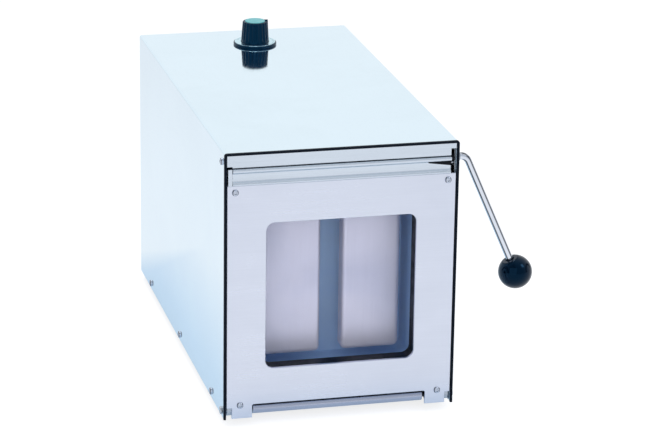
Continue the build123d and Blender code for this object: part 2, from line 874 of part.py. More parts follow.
with BuildPart() as shaft_bushes:
    for inner in (-wall_in, wall_in - frame_sheet):
        with BuildSketch(at_side(inner)):
            with Locations((shaft_depth, shaft_height)):
                Circle(bush_radius)
                Circle(shaft_radius + running, mode=Mode.SUBTRACT)
        extrude(amount=frame_sheet)
save(shaft_bushes, "shaft_bushes")

rod_plane = at_depth(shaft_depth)
ball_centre = rod_plane.from_local_coords(Vector(ball_x, ball_height, 0))
rod_direction = Vector(sin(lever_lean), 0, -cos(lever_lean))
with BuildPart() as lever_rod:
    with BuildLine(rod_plane) as rod_path:
        FilletPolyline(
            (rod_start, shaft_height),
            (lever_corner, shaft_height),
            (ball_x, ball_height),
            radius=lever_bend_radius,
        )
    with BuildSketch(Plane(origin=rod_path.line @ 0, z_dir=rod_path.line % 0)):
        Circle(rod_radius)
    sweep()
save(lever_rod, "lever_rod")

ball_flat = (ball_radius**2 - ball_flat_radius**2) ** 0.5
with BuildPart() as ball_knob:
    with Locations(ball_centre):
        Sphere(ball_radius)
    with BuildSketch(Plane(origin=ball_centre, z_dir=-rod_direction)):
        Circle(rod_radius)
    extrude(amount=ball_radius, mode=Mode.SUBTRACT)
    with BuildSketch(Plane(origin=ball_centre - rod_direction * ball_flat, z_dir=-rod_direction)):
        Circle(ball_radius)
    extrude(amount=ball_radius, mode=Mode.SUBTRACT)
save(ball_knob, "ball_knob")

# Each hook is a flat claw: a hub on the shaft, an arm towards the front and a short nose that
# comes down in front of the door's stud when the lever goes home.
arm_under = shaft_height + hook_arm_rise
arm_top = shaft_height + hook_hub_radius
nose_front = shaft_depth - hook_reach
nose_back = nose_front + hook_nose_thickness
nose_tip = shaft_height - hook_nose_drop
hook_inner = lip_width / 2 + hook_side_gap
with BuildPart() as latch_hooks:
    for start in (hook_inner, -hook_inner - hook_thickness):
        with BuildSketch(at_side(start)):
            with Locations((shaft_depth, shaft_height)):
                Circle(hook_hub_radius)
            with BuildLine():
                Polyline(
                    (shaft_depth, arm_under),
                    (nose_back, arm_under),
                    (nose_back, nose_tip),
                    (nose_front, nose_tip + hook_nose_rise),
                    (nose_front, arm_top - hook_nose_thickness),
                    (nose_back, arm_top),
                    (shaft_depth, arm_top),
                    close=True,
                )
            make_face()
            with Locations((shaft_depth, shaft_height)):
                Circle(shaft_radius, mode=Mode.SUBTRACT)
        extrude(amount=hook_thickness)
save(latch_hooks, "latch_hooks")

# --- Timer knob -------------------------------------------------------------------------------

skirt_bottom = case_height + skirt_gap
skirt_top = skirt_bottom + skirt_thickness
cap_top = skirt_top + cap_height
timer_shaft_top = skirt_top + timer_shaft_reach
knob_centre = (0, knob_depth)

with BuildPart() as timer_body:
    with BuildSketch(at_height(roof_under)):
        with Locations(knob_centre):
            Circle(timer_radius)
    extrude(amount=-timer_height)
    with BuildSketch(at_height(roof_under)):
        with Locations(knob_centre):
            Circle(timer_bush_radius)
    extrude(amount=sheet + timer_bush_height)
    with BuildSketch(at_height(case_height)):
        with Locations(knob_centre):
            RegularPolygon(nut_flats / 2, 6, major_radius=False)
    extrude(amount=nut_thickness)
    with BuildSketch(at_height(case_height + timer_bush_height)):
        with Locations(knob_centre):
            Circle(timer_shaft_radius + running)
    extrude(amount=-timer_height, mode=Mode.SUBTRACT)
save(timer_body, "timer_body")

with BuildPart() as timer_shaft:
    with BuildSketch(at_height(timer_shaft_top)):
        with Locations(knob_centre):
            Circle(timer_shaft_radius)
    extrude(amount=-(timer_shaft_top - roof_under + timer_height / 2))
save(timer_shaft, "timer_shaft")

with BuildPart() as knob_skirt:
    with BuildSketch(at_height(skirt_bottom)):
        with Locations(knob_centre):
            Circle(skirt_radius)
            Circle(nut_recess_radius, mode=Mode.SUBTRACT)
    extrude(amount=skirt_thickness)
    rim = knob_skirt.faces().sort_by(Axis.Z)[-1].edges().sort_by(SortBy.LENGTH)[-1]
    fillet(rim, dial_inset / 2)
save(knob_skirt, "knob_skirt")

with BuildPart() as knob_dial:
    with BuildSketch(at_height(skirt_top)):
        with Locations(knob_centre):
            Circle(skirt_radius - dial_inset)
            Circle(cap_radius + body_gap, mode=Mode.SUBTRACT)
    extrude(amount=dial_thickness)
save(knob_dial, "knob_dial")

# The cap is a fluted cone with a pointer rib on its right side and a recessed top.
cap_lean = atan2(cap_radius - cap_top_radius, cap_height)
flute_circle = (cap_radius + cap_top_radius) / 2 + flute_radius / 2
pointer_middle = cap_top_radius + pointer_reach - pointer_width
with BuildPart() as knob_cap:
    with BuildSketch(at_height(skirt_top)):
        with Locations(knob_centre):
            Circle(cap_radius)
    with BuildSketch(at_height(cap_top)):
        with Locations(knob_centre):
            Circle(cap_top_radius)
    loft()
    fillet(knob_cap.faces().sort_by(Axis.Z)[-1].edges(), top_disc_thickness)
    with Locations(at_height(skirt_top + cap_height / 2 + flute_foot)):
        with Locations(knob_centre):
            with PolarLocations(flute_circle, flute_count):
                lean = (0, -degrees(cap_lean), 0)
                Cylinder(flute_radius, cap_height, rotation=lean, mode=Mode.SUBTRACT)
    with BuildSketch(at_height(cap_top - top_disc_thickness)):
        with Locations(knob_centre):
            Circle(top_disc_radius)
    extrude(amount=top_disc_thickness, mode=Mode.SUBTRACT)
    with BuildSketch(at_height(skirt_top)):
        with Locations((pointer_middle, knob_depth)):
            Rectangle(2 * pointer_width, pointer_width)
    extrude(amount=cap_height + pointer_rise)
    with BuildSketch(at_height(skirt_top)):
        with Locations(knob_centre):
            Circle(timer_shaft_radius)
    extrude(amount=timer_shaft_top - skirt_top, mode=Mode.SUBTRACT)
save(knob_cap, "knob_cap")

with BuildPart() as knob_top_disc:
    with BuildSketch(at_height(cap_top - top_disc_thickness)):
        with Locations(knob_centre):
            Circle(top_disc_radius)
    extrude(amount=2 * top_disc_thickness)
    fillet(knob_top_disc.faces().sort_by(Axis.Z)[-1].edges(), top_disc_thickness / 2)
save(knob_top_disc, "knob_top_disc")

# --- Paddles, guide rods and yokes ------------------------------------------------------------

yoke_front = crank_depth - roller_radius - open_pivot_clearance - yoke_front_wall
yoke_back = crank_depth + roller_radius + open_pivot_clearance + yoke_rear_wall
slot_front = yoke_front + yoke_front_wall
slot_back = yoke_back - yoke_rear_wall
slot_height = 2 * (roller_radius + crank_throw + open_pivot_clearance)
yoke_bottom = rod_heights[0] - 2 * guide_rod_radius
yoke_top = rod_heights[1] + 2 * guide_rod_radius
rod_start_depth = paddle_back - guide_rod_seat
rod_end_depth = yoke_front + guide_rod_seat
for side, x in zip(("left", "right"), paddle_x):
    with BuildPart() as paddle:
        with BuildSketch(at_depth(paddle_front)):
            with Locations((x, paddle_middle)):
                RectangleRounded(paddle_width, paddle_height, paddle_edge_radius)
        extrude(amount=-paddle_thickness)
        fillet(paddle.faces().sort_by(Axis.Y)[0].edges(), paddle_rim_radius)
        with BuildSketch(at_depth(paddle_back)):
            with Locations((x, paddle_middle)):
                RectangleRounded(
                    paddle_width - 2 * paddle_wall,
                    paddle_height - 2 * paddle_wall,
                    paddle_edge_radius / 2,
                )
            with Locations(*[(x, z) for z in rod_heights]):
                Circle(guide_rod_radius + rod_boss_wall, mode=Mode.SUBTRACT)
        extrude(amount=paddle_thickness - paddle_edge_radius, mode=Mode.SUBTRACT)
        with BuildSketch(at_depth(paddle_back)):
            with Locations(*[(x, z) for z in rod_heights]):
                Circle(guide_rod_radius)
        extrude(amount=guide_rod_seat, mode=Mode.SUBTRACT)
    save(paddle, f"{side}_paddle")

    with BuildPart() as guide_rods:
        with BuildSketch(at_depth(rod_start_depth)):
            with Locations(*[(x, z) for z in rod_heights]):
                Circle(guide_rod_radius)
        extrude(amount=-(rod_end_depth - rod_start_depth))
    save(guide_rods, f"{side}_guide_rods")

    with BuildPart() as yoke:
        sides = (x - yoke_thickness / 2, x + yoke_thickness / 2)
        block(sides, (yoke_front, slot_front), (yoke_bottom, yoke_top))
        block(sides, (slot_back, yoke_back), (yoke_bottom, yoke_top))
        bar_depths = (slot_front + yoke_joint, slot_back - yoke_joint)
        block(sides, bar_depths, (yoke_bottom, crank_height - slot_height / 2))
        block(sides, bar_depths, (crank_height + slot_height / 2, yoke_top))
        with BuildSketch(at_depth(yoke_front)):
            with Locations(*[(x, z) for z in rod_heights]):
                Circle(guide_rod_radius)
        extrude(amount=-guide_rod_seat, mode=Mode.SUBTRACT)
    save(yoke, f"{side}_yoke")

    with BuildPart() as roller:
        offset = crank_throw if side == "left" else -crank_throw
        with BuildSketch(at_side(x - roller_width / 2)):
            with Locations((crank_depth, crank_height + offset)):
                Circle(roller_radius)
                Circle(crank_pin_radius + running, mode=Mode.SUBTRACT)
        extrude(amount=roller_width)
    save(roller, f"{side}_roller")

guide_front = chamber_back + bush_flange_thickness
with BuildPart() as rod_bushes:
    with BuildSketch(at_depth(chamber_back)):
        with Locations(*rod_points):
            Circle(rod_bush_flange)
    extrude(amount=-bush_flange_thickness)
    with BuildSketch(at_depth(guide_front)):
        with Locations(*rod_points):
            Circle(rod_bush_radius)
    extrude(amount=-guide_block_length)
    with BuildSketch(at_depth(chamber_back)):
        with Locations(*rod_points):
            Circle(guide_rod_radius + running)
    extrude(amount=-(guide_block_length + bush_flange_thickness), mode=Mode.SUBTRACT)
save(rod_bushes, "rod_bushes")

guide_top = rod_heights[1] + guide_block_margin
with BuildPart() as guide_block:
    with BuildSketch(at_depth(guide_front)):
        with Locations((0, bed_top)):
            Rectangle(guide_block_width, guide_top - bed_top, align=(Align.CENTER, Align.MIN))
        with Locations((0, (rod_heights[0] + rod_heights[1]) / 2)):
            RectangleRounded(guide_core_width, guide_core_height, rod_boss_wall, mode=Mode.SUBTRACT)
        with Locations(*rod_points):
            Circle(rod_bush_radius, mode=Mode.SUBTRACT)
    extrude(amount=-guide_block_length)
save(guide_block, "guide_block")

# --- Crank drive ------------------------------------------------------------------------------

web_inner = yoke_thickness / 2 + web_side_gap
outer_bearing_x = paddle_spacing / 2 + web_inner + web_thickness + bearing_web_gap + bearing_width / 2
pulley_left = pulley_x - pulley_width / 2
pulley_right = pulley_x + pulley_width / 2
bed_width = 2 * (pulley_left - bed_pulley_gap)
bed_back = crank_depth + bearing_base / 2 + bed_margin
bed_length = bed_back - guide_front
with BuildPart() as mechanism_bed:
    with BuildSketch(at_depth(guide_front)):
        with Locations((0, bed_top)):
            Rectangle(bed_width, bed_thickness, align=(Align.CENTER, Align.MAX))
        for sign in (-1, 1):
            leg = sign * (bed_width - bed_thickness) / 2
            with Locations((leg, frame_sheet)):
                Rectangle(bed_thickness, bed_top - frame_sheet, align=(Align.CENTER, Align.MIN))
            with Locations((sign * (bed_width / 2 + bed_foot / 2), frame_sheet)):
                Rectangle(bed_foot, bed_thickness, align=(Align.CENTER, Align.MIN))
    extrude(amount=-bed_length)
    with BuildSketch(at_side(-bed_width)):
        with Locations((guide_front + bed_length / 2, (bed_top + frame_sheet) / 2)):
            with GridLocations(bed_window_pitch, 0, 2, 1):
                RectangleRounded(bed_window_width, bed_window_height, bed_thickness)
    extrude(amount=2 * bed_width, mode=Mode.SUBTRACT)
save(mechanism_bed, "mechanism_bed")

with BuildPart() as bearing_blocks:
    for x in (-outer_bearing_x, 0, outer_bearing_x):
        with BuildSketch(at_side(x - bearing_width / 2)):
            with Locations((crank_depth, bed_top)):
                Rectangle(bearing_base, bearing_base_height, align=(Align.CENTER, Align.MIN))
                Rectangle(2 * bearing_radius, crank_height - bed_top, align=(Align.CENTER, Align.MIN))
            with Locations((crank_depth, crank_height)):
                Circle(bearing_radius)
                Circle(journal_radius + running, mode=Mode.SUBTRACT)
        extrude(amount=bearing_width)
save(bearing_blocks, "bearing_blocks")

journal_left = -(outer_bearing_x + bearing_width / 2 + journal_end)
with BuildPart() as crankshaft:
    inner_end = paddle_spacing / 2 - web_inner
    outer_end = paddle_spacing / 2 + web_inner
    journal_right = pulley_right + journal_end
    journals = ((journal_left, -outer_end), (-inner_end, inner_end), (outer_end, journal_right))
    for start, end in journals:
        with BuildSketch(at_side(start)):
            with Locations((crank_depth, crank_height)):
                Circle(journal_radius)
        extrude(amount=end - start)
    for x, offset in zip(paddle_x, (crank_throw, -crank_throw)):
        with BuildSketch(at_side(x - web_inner)):
            with Locations((crank_depth, crank_height + offset)):
                Circle(crank_pin_radius)
        extrude(amount=2 * web_inner)
        for start in (x - web_inner - web_thickness, x + web_inner):
            with BuildSketch(at_side(start)):
                with Locations((crank_depth, crank_height)):
                    Circle(web_radius)
            extrude(amount=web_thickness)
save(crankshaft, "crankshaft")

with BuildPart() as crank_pulley:
    with BuildSketch(at_side(pulley_left)):
        with Locations((crank_depth, crank_height)):
            Circle(crank_pulley_radius)
    extrude(amount=pulley_width)
    for start in (pulley_left, pulley_right - pulley_flange_thickness):
        with BuildSketch(at_side(start)):
            with Locations((crank_depth, crank_height)):
                Circle(crank_pulley_radius + pulley_flange)
        extrude(amount=pulley_flange_thickness)
    with BuildSketch(at_side(pulley_right)):
        with Locations((crank_depth, crank_height)):
            with PolarLocations(pulley_hole_circle, pulley_hole_count):
                Circle(pulley_hole_radius)
            Circle(journal_radius)
    extrude(amount=-pulley_width, mode=Mode.SUBTRACT)
save(crank_pulley, "crank_pulley")

# --- Motor and belt ---------------------------------------------------------------------------

motor_depth = (bed_back + board_depth - board_length / 2) / 2
motor_right = pulley_left - motor_pulley_gap
motor_left = motor_right - motor_length
motor_seat = (motor_depth, motor_height)
with BuildPart() as motor_body:
    with BuildSketch(at_side(motor_left)):
        with Locations(motor_seat):
            Circle(motor_bell_radius)
    extrude(amount=motor_length)
    with BuildSketch(at_side(motor_left + motor_end_bell)):
        with Locations(motor_seat):
            Circle(motor_radius)
    extrude(amount=motor_length - 2 * motor_end_bell)
    with BuildSketch(at_side(motor_right)):
        with Locations(motor_seat):
            Circle(motor_shaft_radius + running)
    extrude(amount=-motor_shaft_seat, mode=Mode.SUBTRACT)
save(motor_body, "motor_body")

with BuildPart() as motor_cradle:
    cradle_middle = (motor_left + motor_right) / 2
    with BuildSketch(at_side(cradle_middle - cradle_length / 2)):
        with Locations((motor_depth, frame_sheet)):
            Rectangle(cradle_width, cradle_height, align=(Align.CENTER, Align.MIN))
        with Locations(motor_seat):
            Circle(motor_radius, mode=Mode.SUBTRACT)
    extrude(amount=cradle_length)
save(motor_cradle, "motor_cradle")

with BuildPart() as motor_pulley:
    with BuildSketch(at_side(pulley_left)):
        with Locations(motor_seat):
            Circle(motor_pulley_radius)
    extrude(amount=pulley_width)
    for start in (pulley_left, pulley_right - pulley_flange_thickness):
        with BuildSketch(at_side(start)):
            with Locations(motor_seat):
                Circle(motor_pulley_radius + pulley_flange)
        extrude(amount=pulley_flange_thickness)
    with BuildSketch(at_side(pulley_left)):
        with Locations(motor_seat):
            Circle(motor_shaft_radius)
    extrude(amount=-(motor_pulley_gap + motor_shaft_seat))
save(motor_pulley, "motor_pulley")


def belt_outline(outward):
    """Face inside a line drawn tight around both pulleys, the given distance off them."""
    with BuildSketch(mode=Mode.PRIVATE) as outline:
        with Locations((crank_depth, crank_height)):
            Circle(crank_pulley_radius + outward)
        with Locations(motor_seat):
            Circle(motor_pulley_radius + outward)
        make_hull()
    return outline.sketch


with BuildPart() as drive_belt:
    with BuildSketch(at_side(pulley_x - belt_width / 2)):
        add(belt_outline(body_gap + belt_thickness))
        add(belt_outline(body_gap), mode=Mode.SUBTRACT)
    extrude(amount=belt_width)
save(drive_belt, "drive_belt")

# --- Drip tray --------------------------------------------------------------------------------

tray_width = notch_width - 2 * tray_side_gap
tray_bottom = frame_sheet + body_gap
tray_top = tray_bottom + tray_height
tray_front = hinge_depth
tray_back = tray_front + tray_length
well_front = tray_front + tray_bar_radius
well_back = tray_back - tray_sheet
with BuildPart() as drip_tray:
    half_tray = tray_width / 2
    block((-half_tray, half_tray), (tray_front, tray_back), (tray_bottom, tray_top))
    fillet(drip_tray.edges().filter_by(Axis.Z).sort_by(Axis.Y)[-2:], tray_corner)
    with BuildSketch(at_height(tray_top)):
        with Locations((0, (well_front + well_back) / 2)):
            well_radius = tray_corner - tray_sheet
            RectangleRounded(tray_width - 2 * tray_sheet, well_back - well_front, well_radius)
    extrude(amount=-(tray_height - tray_sheet), mode=Mode.SUBTRACT)
    with BuildSketch(at_side(-tray_width / 2)):
        with Locations((hinge_depth, hinge_height)):
            Circle(tray_bar_radius)
    extrude(amount=tray_width)
save(drip_tray, "drip_tray")

# --- Electrics --------------------------------------------------------------------------------


def socket_outline(width, height):
    """Inlet socket: a rectangle with its two upper corners cut off."""
    with BuildSketch(mode=Mode.PRIVATE) as outline:
        Rectangle(width, height)
        chamfer(outline.vertices().group_by(Axis.Y)[-1], socket_corner)
    return outline.sketch


socket_middle = inlet_height + socket_rise
drawer_middle = inlet_height - drawer_drop
inlet_outside = rear_outside + inlet_proud
with BuildPart() as power_inlet:
    with BuildSketch(at_back(rear_outside)):
        with Locations((-inlet_x, inlet_height)):
            RectangleRounded(inlet_flange_width, inlet_flange_height, inlet_corner)
        with Locations(*inlet_screw_points):
            Circle(screw_radius, mode=Mode.SUBTRACT)
    extrude(amount=inlet_proud)
    with BuildSketch(at_back(rear_outside)):
        with Locations((-inlet_x, inlet_height)):
            Rectangle(inlet_body_width, inlet_body_height)
    extrude(amount=-inlet_body_depth)
    with BuildSketch(at_back(inlet_outside)):
        with Locations((-inlet_x, socket_middle)):
            add(socket_outline(socket_width, socket_height))
    extrude(amount=-socket_depth, mode=Mode.SUBTRACT)
    with BuildSketch(at_back(inlet_outside)):
        with Locations((-inlet_x, drawer_middle)):
            Rectangle(drawer_width + 2 * body_gap, drawer_height + 2 * body_gap)
    extrude(amount=-(drawer_depth + body_gap), mode=Mode.SUBTRACT)
    with BuildSketch(at_back(inlet_outside - socket_depth)):
        with Locations((-inlet_x, socket_middle + blade_width / 2)):
            Rectangle(blade_thickness, blade_width)
        for sign in (-1, 1):
            with Locations((-inlet_x + sign * blade_spacing / 2, socket_middle - blade_width / 2)):
                Rectangle(blade_thickness, blade_width)
    extrude(amount=blade_length)
save(power_inlet, "power_inlet")

with BuildPart() as fuse_drawer:
    with BuildSketch(at_back(inlet_outside)):
        with Locations((-inlet_x, drawer_middle)):
            Rectangle(drawer_width, drawer_height)
            with Locations((0, drawer_height / 2)):
                pull = (Align.CENTER, Align.MAX)
                Rectangle(drawer_pull_width, blade_thickness, align=pull, mode=Mode.SUBTRACT)
    extrude(amount=-drawer_depth)
save(fuse_drawer, "fuse_drawer")

rocker_pivot = rear_outside - inlet_proud
with BuildPart() as switch_frame:
    with BuildSketch(at_back(rear_outside)):
        with Locations((-inlet_x, switch_middle)):
            RectangleRounded(switch_width + switch_rim, switch_height + switch_rim, switch_rim / 2)
    extrude(amount=inlet_proud / 2)
    with BuildSketch(at_back(rear_outside)):
        with Locations((-inlet_x, switch_middle)):
            Rectangle(switch_width, switch_height)
    extrude(amount=-switch_body_depth)
    with BuildSketch(at_back(rear_outside + inlet_proud / 2)):
        with Locations((-inlet_x, switch_middle)):
            Rectangle(rocker_width + rocker_gap, rocker_height + rocker_gap)
    extrude(amount=-(rocker_depth + switch_rim), mode=Mode.SUBTRACT)
    pin_seat = at_side(inlet_x + rocker_width / 2 + rocker_pin_length)
    pin_span = rocker_width + 2 * rocker_pin_length
    bore_through(pin_seat, [(rocker_pivot, switch_middle)], rocker_pin_radius + running, pin_span)
save(switch_frame, "switch_frame")

# The rocker has a shallow V across its face and turns on two small pins.
with BuildPart() as rocker:
    with BuildSketch(at_side(inlet_x - rocker_width / 2)):
        with Locations((rocker_pivot, switch_middle)):
            with Locations(Rotation(0, 0, rocker_tilt)):
                crest, end = rocker_depth / 2, rocker_height / 2
                face = ((crest, -end), (crest - rocker_hollow, 0), (crest, end))
                Polygon(*face, (-crest, end), (-crest, -end), align=None)
    extrude(amount=rocker_width)
    with BuildSketch(pin_seat):
        with Locations((rocker_pivot, switch_middle)):
            Circle(rocker_pin_radius)
    extrude(amount=-pin_span)
save(rocker, "rocker")

board_bottom = frame_sheet + board_post_height
board_top = board_bottom + board_thickness
with BuildPart() as control_board:
    with BuildSketch(at_height(board_bottom)):
        with Locations((board_x, board_depth)):
            Rectangle(board_width, board_length)
    extrude(amount=board_thickness)
    with BuildSketch(at_height(board_top)):
        with Locations((capacitor_x, board_depth)):
            with GridLocations(0, capacitor_pitch, 1, 2):
                Circle(capacitor_radius)
    extrude(amount=capacitor_height)
    with BuildSketch(at_height(board_top)):
        with Locations((transformer_x, board_depth)):
            Rectangle(transformer_size, transformer_size)
    extrude(amount=transformer_height)
    with BuildSketch(at_height(board_top)):
        with Locations((heat_sink_x, board_depth)):
            with GridLocations(heat_sink_pitch, 0, heat_sink_fins, 1):
                Rectangle(heat_sink_pitch / 2, heat_sink_length)
            Rectangle(heat_sink_bar, heat_sink_pitch / 2)
    extrude(amount=heat_sink_height)
save(control_board, "control_board")

with BuildPart() as power_supply:
    with BuildSketch(at_height(frame_sheet)):
        with Locations((supply_x, supply_depth)):
            Rectangle(supply_width, supply_length)
    extrude(amount=supply_height)
    chamfer(power_supply.edges().group_by(Axis.Z)[-1], sheet)
save(power_supply, "power_supply")

plunger_tip = door_back + body_gap
with BuildPart() as door_switch_body:
    with BuildSketch(at_depth(frame_back)):
        with Locations((door_switch_x, door_switch_height)):
            Rectangle(switch_case_width, switch_case_height)
    extrude(amount=-switch_case_length)
    with BuildSketch(at_depth(frame_back)):
        with Locations((door_switch_x, door_switch_height)):
            Circle(plunger_radius + running)
    extrude(amount=-switch_case_length / 2, mode=Mode.SUBTRACT)
save(door_switch_body, "door_switch_body")

with BuildPart() as door_switch_plunger:
    with BuildSketch(at_depth(plunger_tip)):
        with Locations((door_switch_x, door_switch_height)):
            Circle(plunger_radius)
    plunger_end = frame_back + switch_case_length / 2 - plunger_travel - body_gap
    extrude(amount=-(plunger_end - plunger_tip))
    fillet(door_switch_plunger.edges().group_by(Axis.Y)[0], plunger_radius / 2)
save(door_switch_plunger, "door_switch_plunger")
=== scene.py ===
# %% [markdown]
# Paddle blender homogenizer.
# The real machine is a bench casing of polished stainless sheet with a window door, a side lever
# with a ball, and a timer knob on the roof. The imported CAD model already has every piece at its
# place, so this lesson keeps that frame, gives each piece its finish, and rebuilds the few pieces
# whose curves show in close-up.

# %% Load the fixed frame
import json
import math

import bmesh
import bpy
from mathutils import Matrix, Vector


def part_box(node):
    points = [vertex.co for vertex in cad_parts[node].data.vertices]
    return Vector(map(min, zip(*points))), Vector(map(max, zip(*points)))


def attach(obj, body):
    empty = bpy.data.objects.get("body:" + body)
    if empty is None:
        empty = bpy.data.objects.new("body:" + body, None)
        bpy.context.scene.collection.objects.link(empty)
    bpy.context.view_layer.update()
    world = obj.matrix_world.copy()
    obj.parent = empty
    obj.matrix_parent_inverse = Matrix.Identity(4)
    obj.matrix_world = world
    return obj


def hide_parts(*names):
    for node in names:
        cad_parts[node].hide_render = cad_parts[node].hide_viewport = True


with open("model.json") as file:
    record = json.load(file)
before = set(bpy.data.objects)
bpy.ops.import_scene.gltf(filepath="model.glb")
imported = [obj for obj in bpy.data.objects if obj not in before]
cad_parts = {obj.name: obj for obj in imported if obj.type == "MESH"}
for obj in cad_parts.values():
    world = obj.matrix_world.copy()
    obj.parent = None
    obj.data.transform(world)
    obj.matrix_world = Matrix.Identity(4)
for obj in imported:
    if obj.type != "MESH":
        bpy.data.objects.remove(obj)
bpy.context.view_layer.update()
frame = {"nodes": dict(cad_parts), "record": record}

# %% [markdown]
# Places. The drawing of this machine measures from three faces of the casing: x from its middle,
# y from its front edge towards the back and z from its lower edge. One helper turns such a place,
# in millimetres, into the frame's metres, so every number below can be read off the machine.

# %% Casing places
casing_low, casing_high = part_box("casing_cover")
casing_middle = (casing_low.x + casing_high.x) / 2
MM = 0.001


def place(x, y, z):
    """A point of the casing drawing, in the frame's metres."""
    return Vector((casing_middle + x * MM, casing_low.y + y * MM, casing_low.z + z * MM))


casing_size = (casing_high - casing_low) / MM
print("casing, mm:", [round(v, 1) for v in casing_size])

# %% [markdown]
# Camera. A long lens stands far in front of the machine, a little to its left and above, and is
# rolled by under a degree. Its place comes from matching the casing's corners, so nothing is
# framed by eye.

# %% Camera
CAMERA_TURN, CAMERA_RISE, CAMERA_ROLL = -14.09, 18.43, 0.85
turn, rise, roll = (math.radians(a) for a in (CAMERA_TURN, CAMERA_RISE, CAMERA_ROLL))
backwards = Vector((math.sin(turn) * math.cos(rise), -math.cos(turn) * math.cos(rise), math.sin(rise)))
level_right = Vector((0, 0, 1)).cross(backwards).normalized()
level_up = backwards.cross(level_right)
right = level_right * math.cos(roll) + level_up * math.sin(roll)
up = level_up * math.cos(roll) - level_right * math.sin(roll)

camera_data = bpy.data.cameras.new("camera")
camera_data.sensor_width = 36.0
camera_data.lens = 159.86
camera_data.clip_start = 0.1
camera_data.clip_end = 100.0
camera = bpy.data.objects.new("camera", camera_data)
bpy.context.scene.collection.objects.link(camera)
camera.matrix_world = Matrix.Translation(place(-740.4, -2873.4, 1214.5)) @ Matrix(
    (right, up, backwards)
).transposed().to_4x4()
bpy.context.scene.camera = camera
print("camera at", [round(v, 3) for v in camera.location])

# %% [markdown]
# Colours. A maker names a finish by the colour the eye sees, so colours are written as screen
# values and turned into the linear light that shaders mix.


# %% Colour helper
def seen(red, green, blue):
    """A screen colour, 0 to 255, as linear light with alpha."""

    def linear(value):
        value = value / 255
        return value / 12.92 if value <= 0.04045 else ((value + 0.055) / 1.055) ** 2.4

    return (linear(red), linear(green), linear(blue), 1.0)


print("polished steel", [round(v, 2) for v in seen(220, 240, 251)[:3]])

# %% [markdown]
# Shared effects. Drawn grain, handling marks, worn edges and moulded skin turn up on many
# finishes, so each is one node group with named inputs. A group gives out only masks, heights and
# roughness, and the shader itself stays in the material.


# %% Group builder
def start_group(name, inputs, outputs):
    """An empty shader group with float or vector sockets, and its two end nodes."""
    group = bpy.data.node_groups.new(name, "ShaderNodeTree")
    for socket, kind, value in inputs:
        made = group.interface.new_socket(socket, in_out="INPUT", socket_type=kind)
        if value is not None:
            made.default_value = value
    for socket, kind in outputs:
        group.interface.new_socket(socket, in_out="OUTPUT", socket_type=kind)
    return group, group.nodes.new("NodeGroupInput"), group.nodes.new("NodeGroupOutput")


FLOAT, VECTOR = "NodeSocketFloat", "NodeSocketVector"


def add_node(tree, kind, **settings):
    """A node with some of its settings or unlinked inputs set."""
    node = tree.nodes.new("ShaderNode" + kind)
    for name, value in settings.items():
        if hasattr(node, name):
            setattr(node, name, value)
        else:
            node.inputs[name.replace("_", " ")].default_value = value
    return node


def math_node(tree, operation, first, second, clamp=False):
    """A Math node whose operands are sockets or plain numbers."""
    node = add_node(tree, "Math", operation=operation, use_clamp=clamp)
    for index, value in enumerate((first, second)):
        if isinstance(value, (int, float)):
            node.inputs[index].default_value = value
        else:
            tree.links.new(value, node.inputs[index])
    return node.outputs[0]


def spread(tree, value, low, high, to_low, to_high):
    """A Map Range node from one span of values to another, clamped."""
    node = add_node(tree, "MapRange", clamp=True)
    tree.links.new(value, node.inputs["Value"])
    for name, number in (("From Min", low), ("From Max", high), ("To Min", to_low), ("To Max", to_high)):
        node.inputs[name].default_value = number
    return node.outputs["Result"]


# %% Drawn grain
def make_grain_group():
    """Fine parallel lines as a polishing belt leaves them, broken up along their length."""
    group, entry, result = start_group(
        "drawn_grain",
        [("Place", VECTOR, None), ("Fineness", FLOAT, 1.0)],
        [("Height", FLOAT), ("Mask", FLOAT)],
    )
    scaled = add_node(group, "VectorMath", operation="SCALE")
    group.links.new(entry.outputs["Place"], scaled.inputs[0])
    group.links.new(entry.outputs["Fineness"], scaled.inputs["Scale"])
    fine = add_node(group, "TexNoise", Scale=900.0, Detail=3.0, Roughness=0.6)
    broad = add_node(group, "TexNoise", Scale=160.0, Detail=2.0, Roughness=0.5)
    for noise in (fine, broad):
        group.links.new(scaled.outputs[0], noise.inputs["Vector"])
    height = math_node(group, "ADD", math_node(group, "MULTIPLY", fine.outputs["Fac"], 0.7), 0.0)
    height = math_node(group, "ADD", height, math_node(group, "MULTIPLY", broad.outputs["Fac"], 0.3))
    group.links.new(height, result.inputs["Height"])
    group.links.new(spread(group, height, 0.35, 0.65, 0.0, 1.0), result.inputs["Mask"])
    return group


grain_group = make_grain_group()


